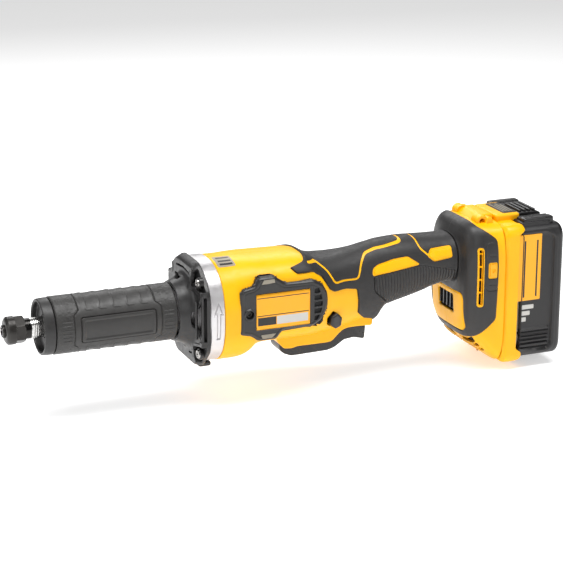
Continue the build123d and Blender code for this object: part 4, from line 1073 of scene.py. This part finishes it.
def make_battery():
    soft = [(math.sin(t), 1 - math.cos(t)) for t in np.radians([0, 15, 30, 45, 60, 75, 90])]
    rows = [(CASE_FRONT, CASE_HALF - 3, CASE_LOW + 3, CASE_HIGH - 3)]
    rows += [(x, CASE_HALF, CASE_LOW, CASE_HIGH) for x in np.arange(CASE_FRONT + 0.1, CASE_BACK - 5.6,
        0.6)]
    rows += [(CASE_BACK - 5.5 + 5.5 * a, CASE_HALF - 5.5 * b, CASE_LOW + 5.5 * b, CASE_HIGH - 5.5 * b)
        for a, b in soft]
    for inset in (9, 12, 20, 34):
        rows.append((CASE_BACK, CASE_HALF - inset, CASE_LOW + inset, CASE_HIGH - inset))
    rings = []
    for x, half, low, high in rows:
        corner = max(0.6, min(CORNER, half - 0.5, (high - low) / 2 - 0.5))
        ring = rounded_ring(half, low, high, corner, 170)
        rings.append(np.concatenate([np.full((len(ring), 1), x), ring], 1))
    grid = np.stack(rings)
    grid = grid + normals(grid) * battery_relief(grid)[..., None]
    around = np.arange(grid.shape[1])
    caps = [around[None, ::-1], (around + (len(rows) - 1) * grid.shape[1])[None]]
    faces = [quads(*grid.shape[:2])] + caps
    add_mesh("battery_shell", grid.reshape(-1, 3), faces, *BATTERY_SATIN, ["battery_case"], outward=True)
    front = SHELL_FRONT
    rows = []
    for x in np.concatenate([[front, front + 0.6, front + 1.2], np.arange(front + 1.8, 427, 0.6)]):
        bulge = 0.9 * math.sin(math.pi * min(1, (x - front) / 18)) ** 0.6 - 1.6 * (1
            - ease((x - front) / 2.4))
        rows.append((x, 39.6 + bulge, -68.6 - bulge, 47.0 + bulge))
    rings = np.stack([np.concatenate([np.full((640, 1), r[0]), rounded_ring(*r[1:], CORNER, 160)], 1)
        for r in rows])
    cap = rings[:1] * [1, 0.55, 0.55] + [0, 0, -4]
    rings = np.concatenate([cap, rings])
    x, y, z = axes(rings)
    field = np.where(np.abs(y) > 32, inside(YELLOW_EDGE, x, z), SHELL_BACK - x)
    field = np.where((np.abs(y) < 30) & (z > 0), SHELL_TOP_BACK - x, field)
    rim = 0.25 * ease(field / 1.2)
    rings = rings + normals(rings) * rim[..., None]
    skin("battery_front_shell", rings, field, *BATTERY_YELLOW, ["battery_rail_case"], thickness=2.0,
        split=False)
    make_battery_trim()


def make_battery_trim():
    x0, z0, x1, z1 = SIDE_PLATE
    for side, sign in SIDES:
        level = sign * 38.9
        plate = slab(f"plate_{side}", rectangle(x0, z0, x1, z1, 1.0), sign * 37.6, level, "battery",
            "label_sheet", YELLOW_SATIN, bevel=0.2)
        lines = [slab("line", rectangle(x, -13.5, x + 1.4, 34.5, 0.2), sign * 38.6, sign * 39.0,
            *BATTERY_PRINT, bevel=0.05) for x in (426.0, 437.4)]
        bars = []
        for k in range(3):  # a plain three-bar charge mark
            low = -34.6 + 5.3 * k
            bars.append(slab("bar", rectangle(424.2, low, 430.0 + 3.4 * k, low + 3.6, 0.5), sign * 37.4,
                sign * 38.4, "battery", "label_sheet", PALE_PRINT, bevel=0.1))
        join(f"battery_label_{side}", [plate] + lines)
        join(f"battery_mark_{side}", bars)
    slab("battery_bay", rectangle(-25.5, -52.0, 25.5, 32.0, 2.0), 415.8, 417.0, *BATTERY_BLACK, axis="X",
        bevel=0.4)
    deck = rectangle(409.6, -19.5, 431.6, 19.5, 2.2)
    join("battery_deck", [slab("deck", deck, 44, 53.2, *BATTERY_YELLOW, axis="Z", bevel=1.8, segments=4)])
    plate = rectangle(418.0, -15.8, 430.6, 15.8, 1.6)
    card = slab("card", plate, 52.9, 53.6, *BATTERY_PRINT, axis="Z", bevel=0.2)
    rows = [slab("row", rectangle(419.8 + 2.6 * k, -12.5, 420.8 + 2.6 * k, 12.5 - 4 * (k % 2), 0.2), 53.4,
        53.75, "battery", "label_sheet", GREY_INLAY, axis="Z", bevel=0.05) for k in range(4)]
    join("battery_deck_card", [card] + rows)
    cheeks = []
    for sign in (-1, 1):
        cheek = rounded([(425.5, sign * 18.6), (425.5, sign * 34.2), (451.5, sign * 34.2),
            (453.5, sign * 31.8), (453.5, sign * 20), (451.5, sign * 18.6)], 2)
        cheeks.append(slab("cheek", cheek, 42, 48.6, *BATTERY_SATIN, axis="Z", bevel=2.2, segments=4))
        for y, half, top in ((21.4, 2.2, 50.6), (28.6, 4.2, 51.4)):
            rib = rectangle(428.2, sign * y - half, 456.0, sign * y + half, 2.1)
            cheeks.append(slab("rib", rib, 45.0, top, *BATTERY_BLACK, axis="Z", bevel=2.0, segments=5))
    bottom = rectangle(427, -24, 452, 24, 3)
    cheeks.append(slab("keel", bottom, -67.4, -64, *BATTERY_BLACK, axis="Z", bevel=1.0))
    join("battery_cheeks", cheeks)


def make_latch():
    side = rounded([(432.0, 49.3), (432.0, 51.0), (434.0, 51.8), (450.0, 51.8), (453.0, 50.6),
        (453.0, 49.3)], 1.8)
    parts = [slab("latch", side, -15.3, 15.3, *LATCH_BLACK, bevel=1.4, segments=4)]
    for k in range(4):
        rib = rectangle(434.6 + 4.3 * k, -12.8, 437.0 + 4.3 * k, 12.8, 1.1)
        parts.append(slab("rib", rib, 51.0, 53.6, *LATCH_BLACK, axis="Z", bevel=1.0))
    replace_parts(join("latch_pad", parts), "battery_latch")


# ---- Stage ----
FLOOR_GAP, FLOOR_REACH = 0.0008, 9.0  # metres


def area_light(name, place, aim, size, power):
    light = bpy.data.lights.new(name, "AREA")
    light.shape = "RECTANGLE"
    light.size, light.size_y = size
    light.energy = power
    holder = bpy.data.objects.new(name, light)
    holder.location = place
    holder.rotation_euler = (Vector(aim) - Vector(place)).to_track_quat("-Z", "Y").to_euler()
    bpy.context.scene.collection.objects.link(holder)


def make_stage():
    scene = bpy.context.scene
    low, reach = cad_bounds[0][2] - FLOOR_GAP, FLOOR_REACH
    mesh = bpy.data.meshes.new("floor")
    corners = [(-reach, -reach, low), (reach, -reach, low), (reach, reach, low), (-reach, reach, low)]
    mesh.from_pydata(corners, [], [(0, 1, 2, 3)])
    floor = bpy.data.objects.new("floor", mesh)
    scene.collection.objects.link(floor)
    paper = bpy.data.materials.new("white paper")
    paper.use_nodes = True
    shader = paper.node_tree.nodes["Principled BSDF"]
    look = {"Base Color": (0.86, 0.86, 0.86, 1), "Roughness": 0.9, "Specular IOR Level": 0.1,
        "Emission Color": (1, 1, 1, 1), "Emission Strength": 0.5}
    for key, value in look.items():
        shader.inputs[key].default_value = value
    mesh.materials.append(paper)

    world = bpy.data.worlds.new("studio")
    world.use_nodes = True
    sky = world.node_tree.nodes["Background"]
    sky.inputs["Color"].default_value = (1, 1, 1, 1)
    sky.inputs["Strength"].default_value = 0.16
    scene.world = world
    centre = (CAMERA_TARGET[0] * MM, 0, 0.01)
    area_light("overhead", (0.2, -0.15, 1.1), centre, (1.5, 0.45), 19)
    area_light("front_left", (-0.6, -1.5, 0.8), centre, (0.6, 0.8), 5)
    area_light("front_right", (1.1, -1.2, 0.55), centre, (0.5, 0.9), 2.5)
    area_light("nose", (-1.2, 0.1, 0.5), centre, (0.5, 0.7), 3)
    area_light("behind", (0.4, 1.2, 0.8), centre, (1.4, 0.5), 7)
    scene.view_settings.view_transform = "Standard"
    scene.view_settings.look = "None"


CAMERA_TARGET, CAMERA_DISTANCE = (228.3, 0.0, 12.62), 1518.92
CAMERA_AZIMUTH, CAMERA_ELEVATION, CAMERA_LENS = math.radians(-22.51), math.radians(17.11), 122.16


def make_camera():
    data = bpy.data.cameras.new("camera")
    data.lens, data.sensor_width = CAMERA_LENS, 36
    data.clip_start, data.clip_end = 0.05, 50
    camera = bpy.data.objects.new("camera", data)
    flat = math.cos(CAMERA_ELEVATION)
    way = Vector((math.sin(CAMERA_AZIMUTH) * flat, -math.cos(CAMERA_AZIMUTH) * flat,
        math.sin(CAMERA_ELEVATION)))
    target = Vector(CAMERA_TARGET) * MM
    camera.location = target + way * CAMERA_DISTANCE * MM
    camera.rotation_euler = (-way).to_track_quat("-Z", "Y").to_euler()
    bpy.context.scene.collection.objects.link(camera)
    bpy.context.scene.camera = camera


def finish_cad_nodes():
    """Gives every CAD node the material of its slot in the record."""
    for part in frame["record"]["subparts"]:
        node = frame["nodes"].get(part["node"])
        # the spindle gets its own steel, with the painted dark reflection at its front
        material = SPINDLE_STEEL if part["node"] == "spindle" else SLOTS[part["material_slot"]]
        if node is not None:
            for holder in node.material_slots:
                holder.material = material


make_camera()
make_stage()
finish_cad_nodes()
make_nut()
make_boot()
make_ring()
make_cover()
make_housing()
make_inner_shadow()
make_overmould()
make_foot_cape()
make_front_grille()
make_accents()
make_top_label()
make_bezels()
make_trigger()
make_lock_off()
make_foot_top()
make_battery()
make_latch()
